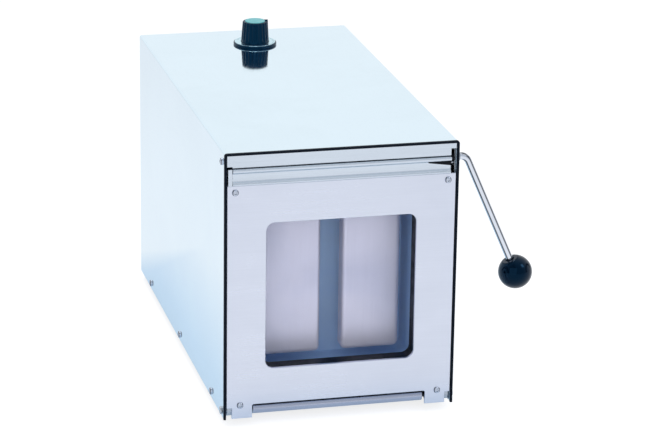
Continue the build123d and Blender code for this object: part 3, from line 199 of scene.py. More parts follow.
# %% Handling marks
def make_marks_group():
    """Wiped smears and a few hair scratches, as a cloth and hands leave on polished sheet."""
    group, entry, result = start_group(
        "handling_marks",
        [("Place", VECTOR, None), ("Scratches", FLOAT, 1.0)],
        [("Smears", FLOAT), ("Scratches", FLOAT)],
    )
    smear = add_node(group, "TexNoise", Scale=9.0, Detail=4.0, Roughness=0.55, Distortion=0.8)
    group.links.new(entry.outputs["Place"], smear.inputs["Vector"])
    group.links.new(spread(group, smear.outputs["Fac"], 0.42, 0.68, 0.0, 1.0), result.inputs["Smears"])
    stretch = add_node(group, "Mapping")
    stretch.inputs["Rotation"].default_value = (0.3, 0.5, 0.6)
    stretch.inputs["Scale"].default_value = (2.0, 60.0, 60.0)
    group.links.new(entry.outputs["Place"], stretch.inputs["Vector"])
    cells = add_node(group, "TexVoronoi", feature="DISTANCE_TO_EDGE", Scale=1.2)
    group.links.new(stretch.outputs[0], cells.inputs["Vector"])
    hair = spread(group, cells.outputs["Distance"], 0.0, 0.012, 1.0, 0.0)
    patch = add_node(group, "TexNoise", Scale=14.0, Detail=1.0)
    group.links.new(entry.outputs["Place"], patch.inputs["Vector"])
    rare = spread(group, patch.outputs["Fac"], 0.6, 0.7, 0.0, 1.0)
    scratches = math_node(group, "MULTIPLY", math_node(group, "MULTIPLY", hair, rare), entry.outputs["Scratches"])
    group.links.new(scratches, result.inputs["Scratches"])
    return group


marks_group = make_marks_group()


# %% Worn edges
def make_edge_group():
    """How sharply the surface turns within a small radius: 1 on an edge and 0 on the flat."""
    group, entry, result = start_group("worn_edges", [("Breadth", FLOAT, 0.001)], [("Mask", FLOAT)])
    bevel = add_node(group, "Bevel", samples=4)
    group.links.new(entry.outputs["Breadth"], bevel.inputs["Radius"])
    surface = add_node(group, "NewGeometry")
    likeness = add_node(group, "VectorMath", operation="DOT_PRODUCT")
    group.links.new(bevel.outputs["Normal"], likeness.inputs[0])
    group.links.new(surface.outputs["Normal"], likeness.inputs[1])
    group.links.new(spread(group, likeness.outputs["Value"], 0.80, 0.99, 1.0, 0.0), result.inputs["Mask"])
    return group


edge_group = make_edge_group()


# %% Moulded skin
def make_skin_group():
    """The fine pebble that a mould leaves on plastic and rubber, with larger soft mottling."""
    group, entry, result = start_group(
        "moulded_skin",
        [("Place", VECTOR, None), ("Size", FLOAT, 1.0)],
        [("Height", FLOAT), ("Mottle", FLOAT)],
    )
    scaled = add_node(group, "VectorMath", operation="SCALE")
    group.links.new(entry.outputs["Place"], scaled.inputs[0])
    group.links.new(entry.outputs["Size"], scaled.inputs["Scale"])
    pebble = add_node(group, "TexVoronoi", feature="SMOOTH_F1", Scale=1400.0)
    mottle = add_node(group, "TexNoise", Scale=60.0, Detail=4.0, Roughness=0.6)
    for texture in (pebble, mottle):
        group.links.new(scaled.outputs[0], texture.inputs["Vector"])
    group.links.new(pebble.outputs["Distance"], result.inputs["Height"])
    group.links.new(spread(group, mottle.outputs["Fac"], 0.35, 0.65, 0.0, 1.0), result.inputs["Mottle"])
    return group


skin_group = make_skin_group()
print("shared effects", sorted(g.name for g in bpy.data.node_groups))

# %% [markdown]
# Materials. Two recipes make nearly every finish here. Sheet, bar and turned metal share one:
# a tint, a roughness, a grain direction and how marked it is. Plastic, rubber and paint share the
# other: a colour, a skin and worn edges. Each material keeps its own shader and its own numbers.


# %% Material helpers
def start_material(name):
    """A node material with its shader, and the tree to add to."""
    material = bpy.data.materials.new(name)
    material.use_nodes = True
    tree = material.node_tree
    shader = tree.nodes["Principled BSDF"]
    return material, tree, shader


def use_group(tree, group, place=None, **values):
    """A shared effect placed in a material, fed with a place and plain values."""
    node = tree.nodes.new("ShaderNodeGroup")
    node.node_tree = group
    if place is not None:
        tree.links.new(place, node.inputs["Place"])
    for name, value in values.items():
        node.inputs[name].default_value = value
    return node


def blend_colours(tree, share, first, second):
    """Two colours mixed by a mask; each is a colour or a socket."""
    node = add_node(tree, "Mix", data_type="RGBA")
    tree.links.new(share, node.inputs["Factor"])
    for socket, value in ((node.inputs[6], first), (node.inputs[7], second)):
        if isinstance(value, tuple):
            socket.default_value = value
        else:
            tree.links.new(value, socket)
    return node.outputs[2]


def deeper(colour, share):
    """The same colour with less light, for the hollows of a finish and for painted dark reflections."""
    return tuple(v * share for v in colour[:3]) + (1.0,)


# %% Painted reflection streaks and sheet swells
def painted_reflection_mask(tree, place_node, way):
    """Two lengthwise dark streaks painted on a bright bar: a painted reflection of the dark part of a room, placed by
    the way the surface faces.
    """
    across = add_node(tree, "VectorMath", operation="DOT_PRODUCT")
    tree.links.new(place_node.outputs["Normal"], across.inputs[0])
    across.inputs[1].default_value = way
    side = math_node(tree, "ABSOLUTE", across.outputs["Value"], 0.0)
    rise = spread(tree, side, 0.34, 0.50, 0.0, 1.0)
    fall = spread(tree, side, 0.74, 0.84, 0.0, 1.0)
    return math_node(tree, "MULTIPLY", math_node(tree, "SUBTRACT", rise, fall, clamp=True), 0.9)


def swollen_normal(tree, place_node, normal, height):
    """The slow swells of thin sheet, which bend what it mirrors."""
    swell = add_node(tree, "TexNoise", Scale=6.0, Detail=1.5, Roughness=0.4, Distortion=0.3)
    tree.links.new(place_node.outputs["Object"], swell.inputs["Vector"])
    bump = add_node(tree, "Bump", Strength=1.0, Distance=height)
    tree.links.new(swell.outputs["Fac"], bump.inputs["Height"])
    tree.links.new(normal, bump.inputs["Normal"])
    return bump.outputs["Normal"]


# %% Metal recipe
GRAIN_AXES = {"x": (0.02, 1.0, 1.0), "y": (1.0, 0.02, 1.0), "z": (1.0, 1.0, 0.02), "none": (1.0, 1.0, 1.0)}


def metal(name, colour, roughness, grain="x", grain_depth=0.03, smear=0.06, scratches=0.5,
          edge=0.0006, edge_light=1.12, spread_by=0.05, metallic=1.0, swell=0.0, painted_reflection_way=None):
    """Stainless, aluminium or chrome: tint, drawn grain, smears, scratches, rubbed edges, and on request painted dark
    reflection streaks.
    """
    material, tree, shader = start_material(name)
    shader.inputs["Metallic"].default_value = metallic
    place_node = add_node(tree, "TexCoord")
    along = add_node(tree, "Mapping")
    along.inputs["Scale"].default_value = GRAIN_AXES[grain]
    tree.links.new(place_node.outputs["Object"], along.inputs["Vector"])
    lines = use_group(tree, grain_group, along.outputs[0])
    marks = use_group(tree, marks_group, place_node.outputs["Object"], Scratches=scratches)
    edges = use_group(tree, edge_group, Breadth=edge)
    dim = math_node(tree, "MULTIPLY", marks.outputs["Smears"], smear)
    dim = math_node(tree, "ADD", dim, math_node(tree, "MULTIPLY", lines.outputs["Mask"], grain_depth))
    base = blend_colours(tree, dim, colour, deeper(colour, 0.55))
    bright = tuple(min(1.0, v * edge_light) for v in colour[:3]) + (1.0,)
    rub = math_node(tree, "MULTIPLY", edges.outputs["Mask"], 0.5)
    base = blend_colours(tree, rub, base, bright)
    # painted reflection: dark streaks along the bar, painted into the base colour
    if painted_reflection_way:
        base = blend_colours(tree, painted_reflection_mask(tree, place_node, painted_reflection_way), base, deeper(colour, 0.10))
    tree.links.new(base, shader.inputs["Base Color"])
    rough = math_node(tree, "MULTIPLY", lines.outputs["Mask"], spread_by)
    rough = math_node(tree, "ADD", rough, math_node(tree, "MULTIPLY", marks.outputs["Smears"], spread_by))
    rough = math_node(tree, "ADD", rough, math_node(tree, "MULTIPLY", marks.outputs["Scratches"], 0.15))
    rough = math_node(tree, "ADD", rough, roughness, clamp=True)
    tree.links.new(rough, shader.inputs["Roughness"])
    normal = add_node(tree, "Bevel", samples=4, Radius=edge).outputs["Normal"]
    if swell:
        normal = swollen_normal(tree, place_node, normal, swell)
    bump = add_node(tree, "Bump", Strength=0.25, Distance=0.00003)
    height = math_node(tree, "SUBTRACT", lines.outputs["Height"], marks.outputs["Scratches"])
    tree.links.new(height, bump.inputs["Height"])
    tree.links.new(normal, bump.inputs["Normal"])
    tree.links.new(bump.outputs["Normal"], shader.inputs["Normal"])
    return material


# %% Plastic, rubber and paint recipe
def moulded(name, colour, roughness, worn=None, mottle=0.25, skin=1.0, relief=0.00004, gloss=0.5,
            coat=0.0, edge=0.0006, tint=(1.0, 1.0, 1.0, 1.0)):
    """Plastic, rubber or paint: colour with mottling, moulded skin, and edges rubbed paler."""
    material, tree, shader = start_material(name)
    shader.inputs["Specular IOR Level"].default_value = gloss
    shader.inputs["Specular Tint"].default_value = tint
    shader.inputs["Coat Weight"].default_value = coat
    shader.inputs["Coat Roughness"].default_value = 0.05
    place_node = add_node(tree, "TexCoord")
    surface = use_group(tree, skin_group, place_node.outputs["Object"], Size=skin)
    edges = use_group(tree, edge_group, Breadth=edge)
    share = math_node(tree, "MULTIPLY", surface.outputs["Mottle"], mottle)
    base = blend_colours(tree, share, colour, deeper(colour, 0.6))
    worn = worn or tuple(min(1.0, v * 2.2 + 0.01) for v in colour[:3]) + (1.0,)
    rub = math_node(tree, "MULTIPLY", edges.outputs["Mask"], 0.45)
    tree.links.new(blend_colours(tree, rub, base, worn), shader.inputs["Base Color"])
    rough = math_node(tree, "MULTIPLY", surface.outputs["Mottle"], 0.10)
    rough = math_node(tree, "ADD", rough, roughness, clamp=True)
    tree.links.new(rough, shader.inputs["Roughness"])
    soften = add_node(tree, "Bevel", samples=4, Radius=edge)
    bump = add_node(tree, "Bump", Strength=0.5, Distance=relief)
    tree.links.new(surface.outputs["Height"], bump.inputs["Height"])
    tree.links.new(soften.outputs["Normal"], bump.inputs["Normal"])
    tree.links.new(bump.outputs["Normal"], shader.inputs["Normal"])
    return material


print("recipes ready")

# %% [markdown]
# Window pane. The real pane is clear sheet, so the light has to reach the chamber behind it. Glass
# stops the light of lamps in a path tracer, so for shadow rays the pane is simply clear.


# %% Window glass
def make_pane_material():
    """Clear pane with faint wipe marks, that lets the lamps' light through."""
    material, tree, shader = start_material("clear_pane")
    shader.inputs["Transmission Weight"].default_value = 1.0
    shader.inputs["IOR"].default_value = 1.20
    place_node = add_node(tree, "TexCoord")
    marks = use_group(tree, marks_group, place_node.outputs["Object"], Scratches=0.3)
    tint = blend_colours(tree, marks.outputs["Smears"], seen(240, 246, 252), seen(232, 240, 250))
    tree.links.new(tint, shader.inputs["Base Color"])
    rough = spread(tree, marks.outputs["Smears"], 0.0, 1.0, 0.0, 0.04)
    tree.links.new(rough, shader.inputs["Roughness"])
    clear = add_node(tree, "BsdfTransparent")
    path = add_node(tree, "LightPath")
    pick = add_node(tree, "MixShader")
    tree.links.new(path.outputs["Is Shadow Ray"], pick.inputs["Fac"])
    tree.links.new(shader.outputs[0], pick.inputs[1])
    tree.links.new(clear.outputs[0], pick.inputs[2])
    tree.links.new(pick.outputs[0], tree.nodes["Material Output"].inputs["Surface"])
    return material


# %% Finishes of this machine
STEEL_TINT = seen(219, 239, 251)
DOOR_TINT = seen(219, 225, 239)
BLUE_GLOSS = (0.08, 0.34, 0.72, 1.0)
ROD_SIDE = (-0.911, 0.091, -0.402)
finish = {
    "casing_steel": metal("casing_steel", STEEL_TINT, 0.05, grain="y", grain_depth=0.02, smear=0.05, spread_by=0.02, swell=0.0004),
    "door_steel": metal("door_steel", DOOR_TINT, 0.26, grain="x", grain_depth=0.06, smear=0.04, spread_by=0.05),
    "brushed_steel": metal("brushed_steel", seen(212, 222, 233), 0.20, grain="x", grain_depth=0.08),
    "liner_steel": metal("liner_steel", seen(192, 218, 250), 0.5, grain="z", grain_depth=0.10, metallic=0.2),
    "paddle_steel": metal("paddle_steel", seen(226, 217, 229), 0.40, grain="z", grain_depth=0.08, smear=0.12, metallic=0.55),
    "tray_steel": metal("tray_steel", seen(182, 188, 206), 0.24, grain="x", grain_depth=0.12),
    "rear_steel": metal("rear_steel", seen(196, 202, 208), 0.30, grain="x", grain_depth=0.10),
    # screw_steel and rod_chrome carry painted dark reflection streaks
    "screw_steel": metal("screw_steel", seen(196, 204, 218), 0.18, grain="none", edge=0.0002, painted_reflection_way=(1.0, 0.0, 0.0)),
    "pin_steel": metal("pin_steel", seen(186, 192, 200), 0.18, grain="x", edge=0.0003),
    "rod_chrome": metal("rod_chrome", seen(224, 230, 240), 0.07, grain="z", grain_depth=0.04, edge=0.0003, painted_reflection_way=ROD_SIDE),
    "machined_aluminium": metal("machined_aluminium", seen(196, 199, 204), 0.32, grain="x", grain_depth=0.14),
    "bearing_bronze": metal("bearing_bronze", seen(172, 138, 84), 0.35, grain="none"),
    "dial_aluminium": metal("dial_aluminium", seen(190, 226, 240), 0.06, grain="none", edge=0.0001, spread_by=0.02),
    "base_steel": moulded("base_steel", seen(52, 54, 58), 0.55),
    "motor_paint": moulded("motor_paint", seen(44, 50, 56), 0.42),
    "edge_rubber": moulded("edge_rubber", seen(4, 18, 34), 0.50, worn=seen(26, 40, 58), mottle=0.3, gloss=0.12),
    "seal_rubber": moulded("seal_rubber", seen(8, 14, 24), 0.65, worn=seen(24, 32, 44), mottle=0.3, gloss=0.15),
    "foot_rubber": moulded("foot_rubber", seen(24, 24, 26), 0.70, mottle=0.3),
    "belt_rubber": moulded("belt_rubber", seen(28, 28, 30), 0.60, mottle=0.3),
    "hook_black": moulded("hook_black", seen(6, 12, 24), 0.38, worn=seen(40, 46, 58), gloss=0.15),
    "frame_black": moulded("frame_black", seen(6, 14, 28), 0.42, worn=seen(26, 36, 52), gloss=0.15),
    "ball_black": moulded("ball_black", seen(0, 8, 22), 0.07, worn=seen(4, 22, 44), mottle=0.4, relief=0.000004, gloss=0.5, edge=0.0002, tint=BLUE_GLOSS),
    "knob_black": moulded("knob_black", seen(2, 36, 56), 0.22, worn=seen(10, 56, 88), mottle=0.35, gloss=0.45, edge=0.0003, tint=BLUE_GLOSS),
    "knob_inlay": moulded("knob_inlay", seen(112, 204, 208), 0.30, worn=seen(150, 222, 224), mottle=0.15, gloss=0.3, edge=0.0002),
    "circuit_board": moulded("circuit_board", seen(28, 92, 58), 0.35),
    "black_plastic": moulded("black_plastic", seen(24, 24, 26), 0.42),
    "white_plastic": moulded("white_plastic", seen(226, 226, 222), 0.35),
    "timer_plastic": moulded("timer_plastic", seen(140, 142, 146), 0.45),
    "rocker_plastic": moulded("rocker_plastic", seen(18, 18, 20), 0.22),
    "window_clear": make_pane_material(),
}
print("finishes", len(finish))

# %% Dress the CAD nodes
slot_of = {s["node"]: s["material_slot"] for s in frame["record"]["subparts"]}
for node_name, node in frame["nodes"].items():
    material = finish[slot_of[node_name]]
    node.data.materials.clear()
    node.data.materials.append(material)
print("dressed", len(slot_of))

# %% [markdown]
# Shapes. The imported solids are right in size, but a camera this close shows how turned, bent and
# moulded pieces really end: a rim is rolled, a socket is sunk, a bend is round. Each of these
# pieces starts from one ring, disc or ball, and operators push it on from there. It replaces the
# solid at the same place, and the plain solid stays, hidden.


# %% Finish a shape
def new_piece(name, shape, body, slot, *stands_for, crease=35.0):
    """Close, shade and place one finished bmesh, and let it ride on a body."""
    bmesh.ops.remove_doubles(shape, verts=shape.verts, dist=0.000002)
    bmesh.ops.recalc_face_normals(shape, faces=shape.faces)
    mesh = bpy.data.meshes.new(name)
    shape.to_mesh(mesh)
    shape.free()
    mesh.shade_smooth()
    mesh.set_sharp_from_angle(angle=math.radians(crease))
    mesh.materials.append(finish[slot])
    piece = bpy.data.objects.new(name, mesh)
    bpy.context.scene.collection.objects.link(piece)
    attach(piece, body)
    if stands_for:
        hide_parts(*stands_for)
    print(name, "faces", len(mesh.polygons))
    return piece


# %% Ring tools
def facing(direction):
    """The turn that carries +Z onto a direction."""
    return Vector(direction).to_track_quat("Z", "Y").to_matrix().to_4x4()


def ring_at(shape, middle, direction, radius, steps, filled=False):
    """A ring of edges round a point; the edges come back."""
    before = set(shape.edges)
    bmesh.ops.create_circle(
        shape, cap_ends=filled, segments=steps, radius=radius * MM,
        matrix=Matrix.Translation(middle) @ facing(direction),
    )
    return [edge for edge in shape.edges if edge not in before]


def push_ring(shape, ring, step=(0, 0, 0), middle=None, size=1.0):
    """The ring pushed on by one step and scaled about a middle; the new ring comes back."""
    made = bmesh.ops.extrude_edge_only(shape, edges=ring)["geom"]
    corners = {item for item in made if isinstance(item, bmesh.types.BMVert)}
    bmesh.ops.translate(shape, verts=list(corners), vec=Vector(step))
    if middle is not None:
        centre = Matrix.Translation(-(middle + Vector(step)))
        bmesh.ops.scale(shape, verts=list(corners), vec=(size, size, size), space=centre)
    return [edge for edge in shape.edges if corners.issuperset(edge.verts)]


def turned(shape, middle, direction, profile, steps=64):
    """A lathe: rings of (radius, height) one after the other, closed at both ends."""
    way = Vector(direction).normalized()
    radius, height = profile[0]
    ring = ring_at(shape, middle + way * height * MM, way, radius, steps)
    bmesh.ops.contextual_create(shape, geom=ring)
    for radius_next, height_next in profile[1:]:
        spot = middle + way * height * MM
        ring = push_ring(shape, ring, way * (height_next - height) * MM, spot, radius_next / radius)
        radius, height = radius_next, height_next
    bmesh.ops.contextual_create(shape, geom=ring)


print("tools ready")

# %% [markdown]
# Lever rod. It is one bright drawn bar, bent once. A bar bender holds the bar and turns it about a
# former, and the spin operator does the same: a ring is pushed along the straight, spun about the
# former's centre, and pushed on to the ball.

# %% Lever rod
LEVER_SPLAY, BEND_RADIUS, ROD_RADIUS = 23.8, 10.0, 4.0
SHAFT_DEPTH, SHAFT_HEIGHT, CORNER_REACH, LEVER_LENGTH = 19.0, 282.0, 143.6, 152.0
lean = math.radians(LEVER_SPLAY)
bend_angle = math.radians(90 - LEVER_SPLAY)
tangent = BEND_RADIUS * math.tan(bend_angle / 2)
rod_way = Vector((math.sin(lean), 0, -math.cos(lean)))

rod = bmesh.new()
rod_start = place(130.3, SHAFT_DEPTH, SHAFT_HEIGHT)
bend_start = place(CORNER_REACH - tangent, SHAFT_DEPTH, SHAFT_HEIGHT)
ring = ring_at(rod, rod_start, (1, 0, 0), ROD_RADIUS, 40)
bmesh.ops.contextual_create(rod, geom=ring)
ring = push_ring(rod, ring, bend_start - rod_start)
ends = {vert for edge in ring for vert in edge.verts}
spun = bmesh.ops.spin(
    rod, geom=list(ends) + ring, cent=bend_start - Vector((0, 0, BEND_RADIUS * MM)),
    axis=(0, 1, 0), angle=bend_angle, steps=16, use_merge=False,
)["geom_last"]
ring = [item for item in spun if isinstance(item, bmesh.types.BMEdge)]
ball_centre = place(CORNER_REACH, SHAFT_DEPTH, SHAFT_HEIGHT) + rod_way * LEVER_LENGTH * MM
ring = push_ring(rod, ring, rod_way * (LEVER_LENGTH - tangent - 10.0) * MM)
bmesh.ops.contextual_create(rod, geom=ring)
new_piece("bent_rod", rod, "lever", "rod_chrome", "lever_rod")

# %% [markdown]
# Ball. A moulded ball has a flat neck where the rod enters, and a small dished seat round the rod.
# A sphere is cut by a plane at the neck, the cut is filled, and its rim is rolled.

# %% Lever ball
BALL_RADIUS, NECK_RADIUS = 19.0, 9.0
neck_height = math.sqrt(BALL_RADIUS**2 - NECK_RADIUS**2)
ball = bmesh.new()
bmesh.ops.create_uvsphere(
    ball, u_segments=72, v_segments=48, radius=BALL_RADIUS * MM,
    matrix=Matrix.Translation(ball_centre) @ facing(-rod_way),
)
neck_middle = ball_centre - rod_way * neck_height * MM
cut = bmesh.ops.bisect_plane(
    ball, geom=ball.verts[:] + ball.edges[:] + ball.faces[:], dist=0.00001,
    plane_co=neck_middle, plane_no=-rod_way, clear_outer=True,
)["geom_cut"]
neck_ring = [item for item in cut if isinstance(item, bmesh.types.BMEdge)]
seat_spot = neck_middle.copy()
seat_ring = push_ring(ball, neck_ring, (0, 0, 0), seat_spot, 5.4 / NECK_RADIUS)
for drop, radius, last in ((0.5, 5.0, 5.4), (1.4, 4.2, 5.0)):
    seat_ring = push_ring(ball, seat_ring, rod_way * drop * MM, seat_spot, radius / last)
    seat_spot = seat_spot + rod_way * drop * MM
bmesh.ops.contextual_create(ball, geom=seat_ring)
bmesh.ops.bevel(
    ball, geom=neck_ring, offset=0.9 * MM, offset_type="OFFSET", affect="EDGES",
    segments=4, profile=0.5, material=-1,
)
new_piece("moulded_ball", ball, "lever", "ball_black", "ball_knob")

# %% [markdown]
# Timer knob. It is four pieces: a thin skirt with a rolled rim, a pale printed ring let into it, a
# fluted cap with a pointer rib, and a coloured disc pressed into the top. The flutes are cut by
# drawing in every ring of the cap, more deeply between the ribs, so they fade out at both ends.

# %% Knob skirt and ring
knob_low, knob_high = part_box("knob_cap")
skirt_low, skirt_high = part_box("knob_skirt")
dial_low, dial_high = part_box("knob_dial")
knob_axis = Vector(((skirt_low.x + skirt_high.x) / 2, (skirt_low.y + skirt_high.y) / 2, 0))
UP = Vector((0, 0, 1))
SKIRT_RADIUS = (skirt_high.x - skirt_low.x) / 2 / MM
skirt_tall = (skirt_high.z - skirt_low.z) / MM
skirt = bmesh.new()
skirt_base = knob_axis + UP * skirt_low.z
turned(skirt, skirt_base, UP, [
    (10.0, 0.3), (SKIRT_RADIUS - 1.2, 0.3), (SKIRT_RADIUS - 0.9, -0.35), (SKIRT_RADIUS - 0.25, -0.35),
    (SKIRT_RADIUS, 0.35), (SKIRT_RADIUS, skirt_tall - 0.6), (SKIRT_RADIUS - 0.2, skirt_tall - 0.2),
    (SKIRT_RADIUS - 0.6, skirt_tall), (SKIRT_RADIUS - 1.4, skirt_tall), (17.0, skirt_tall),
], steps=96)
new_piece("rolled_skirt", skirt, "timer_knob", "knob_black", "knob_skirt")

ring_radius = (dial_high.x - dial_low.x) / 2 / MM
dial = bmesh.new()
dial_tall = (dial_high.z - dial_low.z) / MM
outer = ring_at(dial, knob_axis + UP * dial_low.z, UP, ring_radius, 96)
dial_spot = knob_axis + UP * dial_low.z
for step, size in ((dial_tall - 0.06, 1.0), (0.06, (ring_radius - 0.06) / ring_radius), (0.0, 17.4 / (ring_radius - 0.06))):
    outer = push_ring(dial, outer, UP * step * MM, dial_spot, size)
    dial_spot = dial_spot + UP * step * MM
push_ring(dial, outer, UP * -dial_tall * MM)
new_piece("dial_ring", dial, "timer_knob", "dial_aluminium", "knob_dial")

# %% Dial ticks
ticks = bmesh.new()
for index in range(31):
    length, width = (3.4, 0.45) if index % 5 == 0 else (2.0, 0.28)
    tick = bmesh.ops.create_cube(ticks, size=1.0)["verts"]
    bmesh.ops.scale(ticks, verts=tick, vec=(length * MM, width * MM, 0.06 * MM))
    bmesh.ops.translate(ticks, verts=tick, vec=((ring_radius - 0.9 - length / 2) * MM, 0, dial_high.z + 0.01 * MM))
    bmesh.ops.rotate(ticks, verts=tick, matrix=Matrix.Rotation(math.radians(index * 10 - 150), 3, "Z"))
bmesh.ops.translate(ticks, verts=ticks.verts[:], vec=knob_axis)
new_piece("dial_ticks", ticks, "timer_knob", "knob_black")

# %% Knob cap
FLUTES, FLUTE_DEPTH = 20, 0.9
cap_tall = (knob_high.z - skirt_high.z) / MM - 1.2
cap_base = knob_axis + UP * skirt_high.z
cap = bmesh.new()
CAP_FOOT, CAP_TOP = 17.0, 15.0
cap_ring = ring_at(cap, cap_base, UP, CAP_FOOT, FLUTES * 10)
bmesh.ops.contextual_create(cap, geom=cap_ring)
levels = [0.0, 0.25, 1.9, 2.3, 3.0, 4.2, 6.0, 12.0, 18.0, cap_tall - 2.4, cap_tall - 1.5, cap_tall - 0.9]
for index, level in enumerate(levels[1:], start=1):
    step = level - levels[index - 1]
    before = CAP_FOOT - (CAP_FOOT - CAP_TOP) * levels[index - 1] / cap_tall
    after = CAP_FOOT - (CAP_FOOT - CAP_TOP) * level / cap_tall
    cap_ring = push_ring(cap, cap_ring, UP * step * MM, cap_base + UP * levels[index - 1] * MM, after / before)
cap_spot = cap_base + UP * levels[-1] * MM
for step, size in ((0.55, 0.985), (0.25, 0.965), (0.1, 0.93), (0.0, 12.2 / (CAP_TOP * 0.89)), (-0.7, 0.99)):
    cap_ring = push_ring(cap, cap_ring, UP * step * MM, cap_spot, size)
    cap_spot = cap_spot + UP * step * MM
bmesh.ops.contextual_create(cap, geom=cap_ring)
for vert in cap.verts:
    level = (vert.co.z - cap_base.z) / MM
    spot = vert.co - cap_base
    reach = math.hypot(spot.x, spot.y)
    fade = min(1.0, max(0.0, (level - 1.9) / 2.3)) * min(1.0, max(0.0, (reach / MM - 13.0) / 1.0))
    wave = (0.5 + 0.5 * math.cos(FLUTES * math.atan2(spot.y, spot.x) + math.pi)) ** 1.6
    inward = 1.0 - FLUTE_DEPTH * MM * fade * wave / max(reach, MM)
    vert.co.x, vert.co.y = cap_base.x + spot.x * inward, cap_base.y + spot.y * inward
rib = bmesh.ops.create_cube(cap, size=1.0)["verts"]
rib_length, rib_width = 4.8, 2.2
bmesh.ops.scale(cap, verts=rib, vec=(rib_length * MM, rib_width * MM, (cap_tall + 1.2) * MM))
bmesh.ops.translate(cap, verts=rib, vec=cap_base + Vector((CAP_FOOT - rib_length / 2, 0, (cap_tall + 1.2) / 2)) * MM)
for vert in rib:
    vert.co.x -= 1.3 * MM * (vert.co.z - cap_base.z) / (cap_tall * MM)
rib_edges = list({edge for vert in rib for edge in vert.link_edges})
bmesh.ops.bevel(
    cap, geom=rib_edges, offset=0.4 * MM, offset_type="OFFSET", affect="EDGES",
    segments=3, profile=0.5, material=-1,
)
new_piece("fluted_cap", cap, "timer_knob", "knob_black", "knob_cap", crease=50.0)

# %% Knob disc
disc_low, disc_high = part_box("knob_top_disc")
disc_tall = (disc_high.z - disc_low.z) / MM
disc = bmesh.new()
turned(disc, knob_axis + UP * disc_low.z, UP, [
    (11.9, 0.0), (12.0, 0.1), (12.0, disc_tall - 0.35), (11.85, disc_tall - 0.12), (11.5, disc_tall - 0.02),
    (10.9, disc_tall), (10.7, disc_tall - 0.12), (10.4, disc_tall - 0.14), (6.0, disc_tall - 0.08), (0.5, disc_tall - 0.06),
], steps=72)
new_piece("inlaid_disc", disc, "timer_knob", "knob_inlay", "knob_top_disc")

# %% [markdown]
# Screws. Stainless button heads hold the door and the casing. A lathe gives one head its dome and
# its sunk socket, the socket's ring is drawn into six lobes, and the same tool sets every head.

# %% Screw heads
def button_head(shape, seat, outward, radius, rise, lobes=6):
    """One domed head on a surface, with a lobed socket."""
    before = set(shape.verts)
    way = Vector(outward)
    turned(shape, seat, way, [
        (radius - 0.15, -0.2), (radius, 0.05), (radius, 0.30), (radius * 0.96, rise * 0.46),
        (radius * 0.84, rise * 0.74), (radius * 0.66, rise * 0.93), (radius * 0.52, rise),
        (radius * 0.46, rise), (radius * 0.43, rise - 0.12), (radius * 0.40, rise - 1.1), (radius * 0.10, rise - 1.35),
    ], steps=36)
    across = facing(way).to_3x3().inverted()
    for vert in shape.verts:
        if vert in before:
            continue
        spot = across @ (vert.co - seat)
        reach = math.hypot(spot.x, spot.y)
        if MM * radius * 0.38 < reach < MM * radius * 0.48 and spot.z > 0:
            wave = 1.0 - 0.16 * (0.5 + 0.5 * math.cos(lobes * math.atan2(spot.y, spot.x)))
            spot.x, spot.y = spot.x * wave, spot.y * wave
            vert.co = seat + across.inverted() @ spot


door_low, door_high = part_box("door_plate")
half_door = (door_high.x - door_low.x) / 2 / MM
FRONT, BACK, LEFT, RIGHT = Vector((0, -1, 0)), Vector((0, 1, 0)), Vector((-1, 0, 0)), Vector((1, 0, 0))
door_heads = bmesh.new()
for x, z in ((half_door - 8.8, 261.5), (112.25, 16.0)):
    for sign in (-1, 1):
        button_head(door_heads, place(sign * x, 0, z), FRONT, 3.75, 2.0)
for column in (-1, 0, 1):
    for row in (-1, 0, 1):
        if column or row:
            button_head(door_heads, place(column * 100.0, 24.0, 141.0 + row * 100.0), BACK, 3.0, 1.9)
new_piece("door_screw_heads", door_heads, "door", "screw_steel", "door_screws")

casing_heads = bmesh.new()
for sign, outward in ((-1, LEFT), (1, RIGHT)):
    for y, z in ((15.0, 293.0), (70.0, 7.0), (252.5, 7.0), (435.0, 7.0)):
        button_head(casing_heads, place(sign * 130.0, y, z), outward, 4.0, 2.4)
    for z in (20.0, 152.5, 285.0):
        button_head(casing_heads, place(sign * 124.0, 506.5, z), BACK, 4.0, 2.4)
    for y in (52.0, 471.0):
        button_head(casing_heads, place(sign * 96.0, y, -5.0), -UP, 4.0, 2.4)
new_piece("casing_screw_heads", casing_heads, "housing", "screw_steel", "housing_screws")

# %% [markdown]
# Grip lip. A bright drawn bar along the top of the door: a round bead that fingers pull on, a
# hollow below it and a small foot on the plate. Its section starts as nine corners, each corner is
# rolled to its own radius, and the section is pushed along the door.

# %% Grip lip
lip_low, lip_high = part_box("door_lip")
lip_section = (
    (0.0, 269.0, 0.0), (4.9, 269.0, 0.0), (4.9, 288.0, 1.5), (-2.4, 288.0, 1.9), (-2.4, 283.9, 1.5),
    (1.6, 282.4, 1.6), (1.6, 272.6, 1.6), (-0.5, 270.9, 0.5), (-0.5, 269.0, 0.4),
)
LIP_HALF = 121.4
lip = bmesh.new()
corners = [lip.verts.new(place(-LIP_HALF, y, z)) for y, z, roll_by in lip_section]
for first, second in zip(corners, corners[1:] + corners[:1]):
    lip.edges.new((first, second))
for corner, (y, z, roll_by) in zip(corners, lip_section):
    if roll_by:
        bmesh.ops.bevel(
            lip, geom=[corner], offset=roll_by * MM, offset_type="OFFSET", affect="VERTICES",
            segments=6, profile=0.5, material=-1,
        )
lip_ring = lip.edges[:]
bmesh.ops.contextual_create(lip, geom=lip_ring)
lip_ring = push_ring(lip, lip_ring, Vector((2 * LIP_HALF * MM, 0, 0)))
bmesh.ops.contextual_create(lip, geom=lip_ring)
cheek = bmesh.ops.create_cube(lip, size=1.0)["verts"]
bmesh.ops.scale(lip, verts=cheek, vec=(4.4 * MM, 1.6 * MM, 18.8 * MM))
bmesh.ops.translate(lip, verts=cheek, vec=place(-124.2, -0.4, 278.5))
new_piece("drawn_lip", lip, "door", "brushed_steel", "door_lip", crease=40.0)
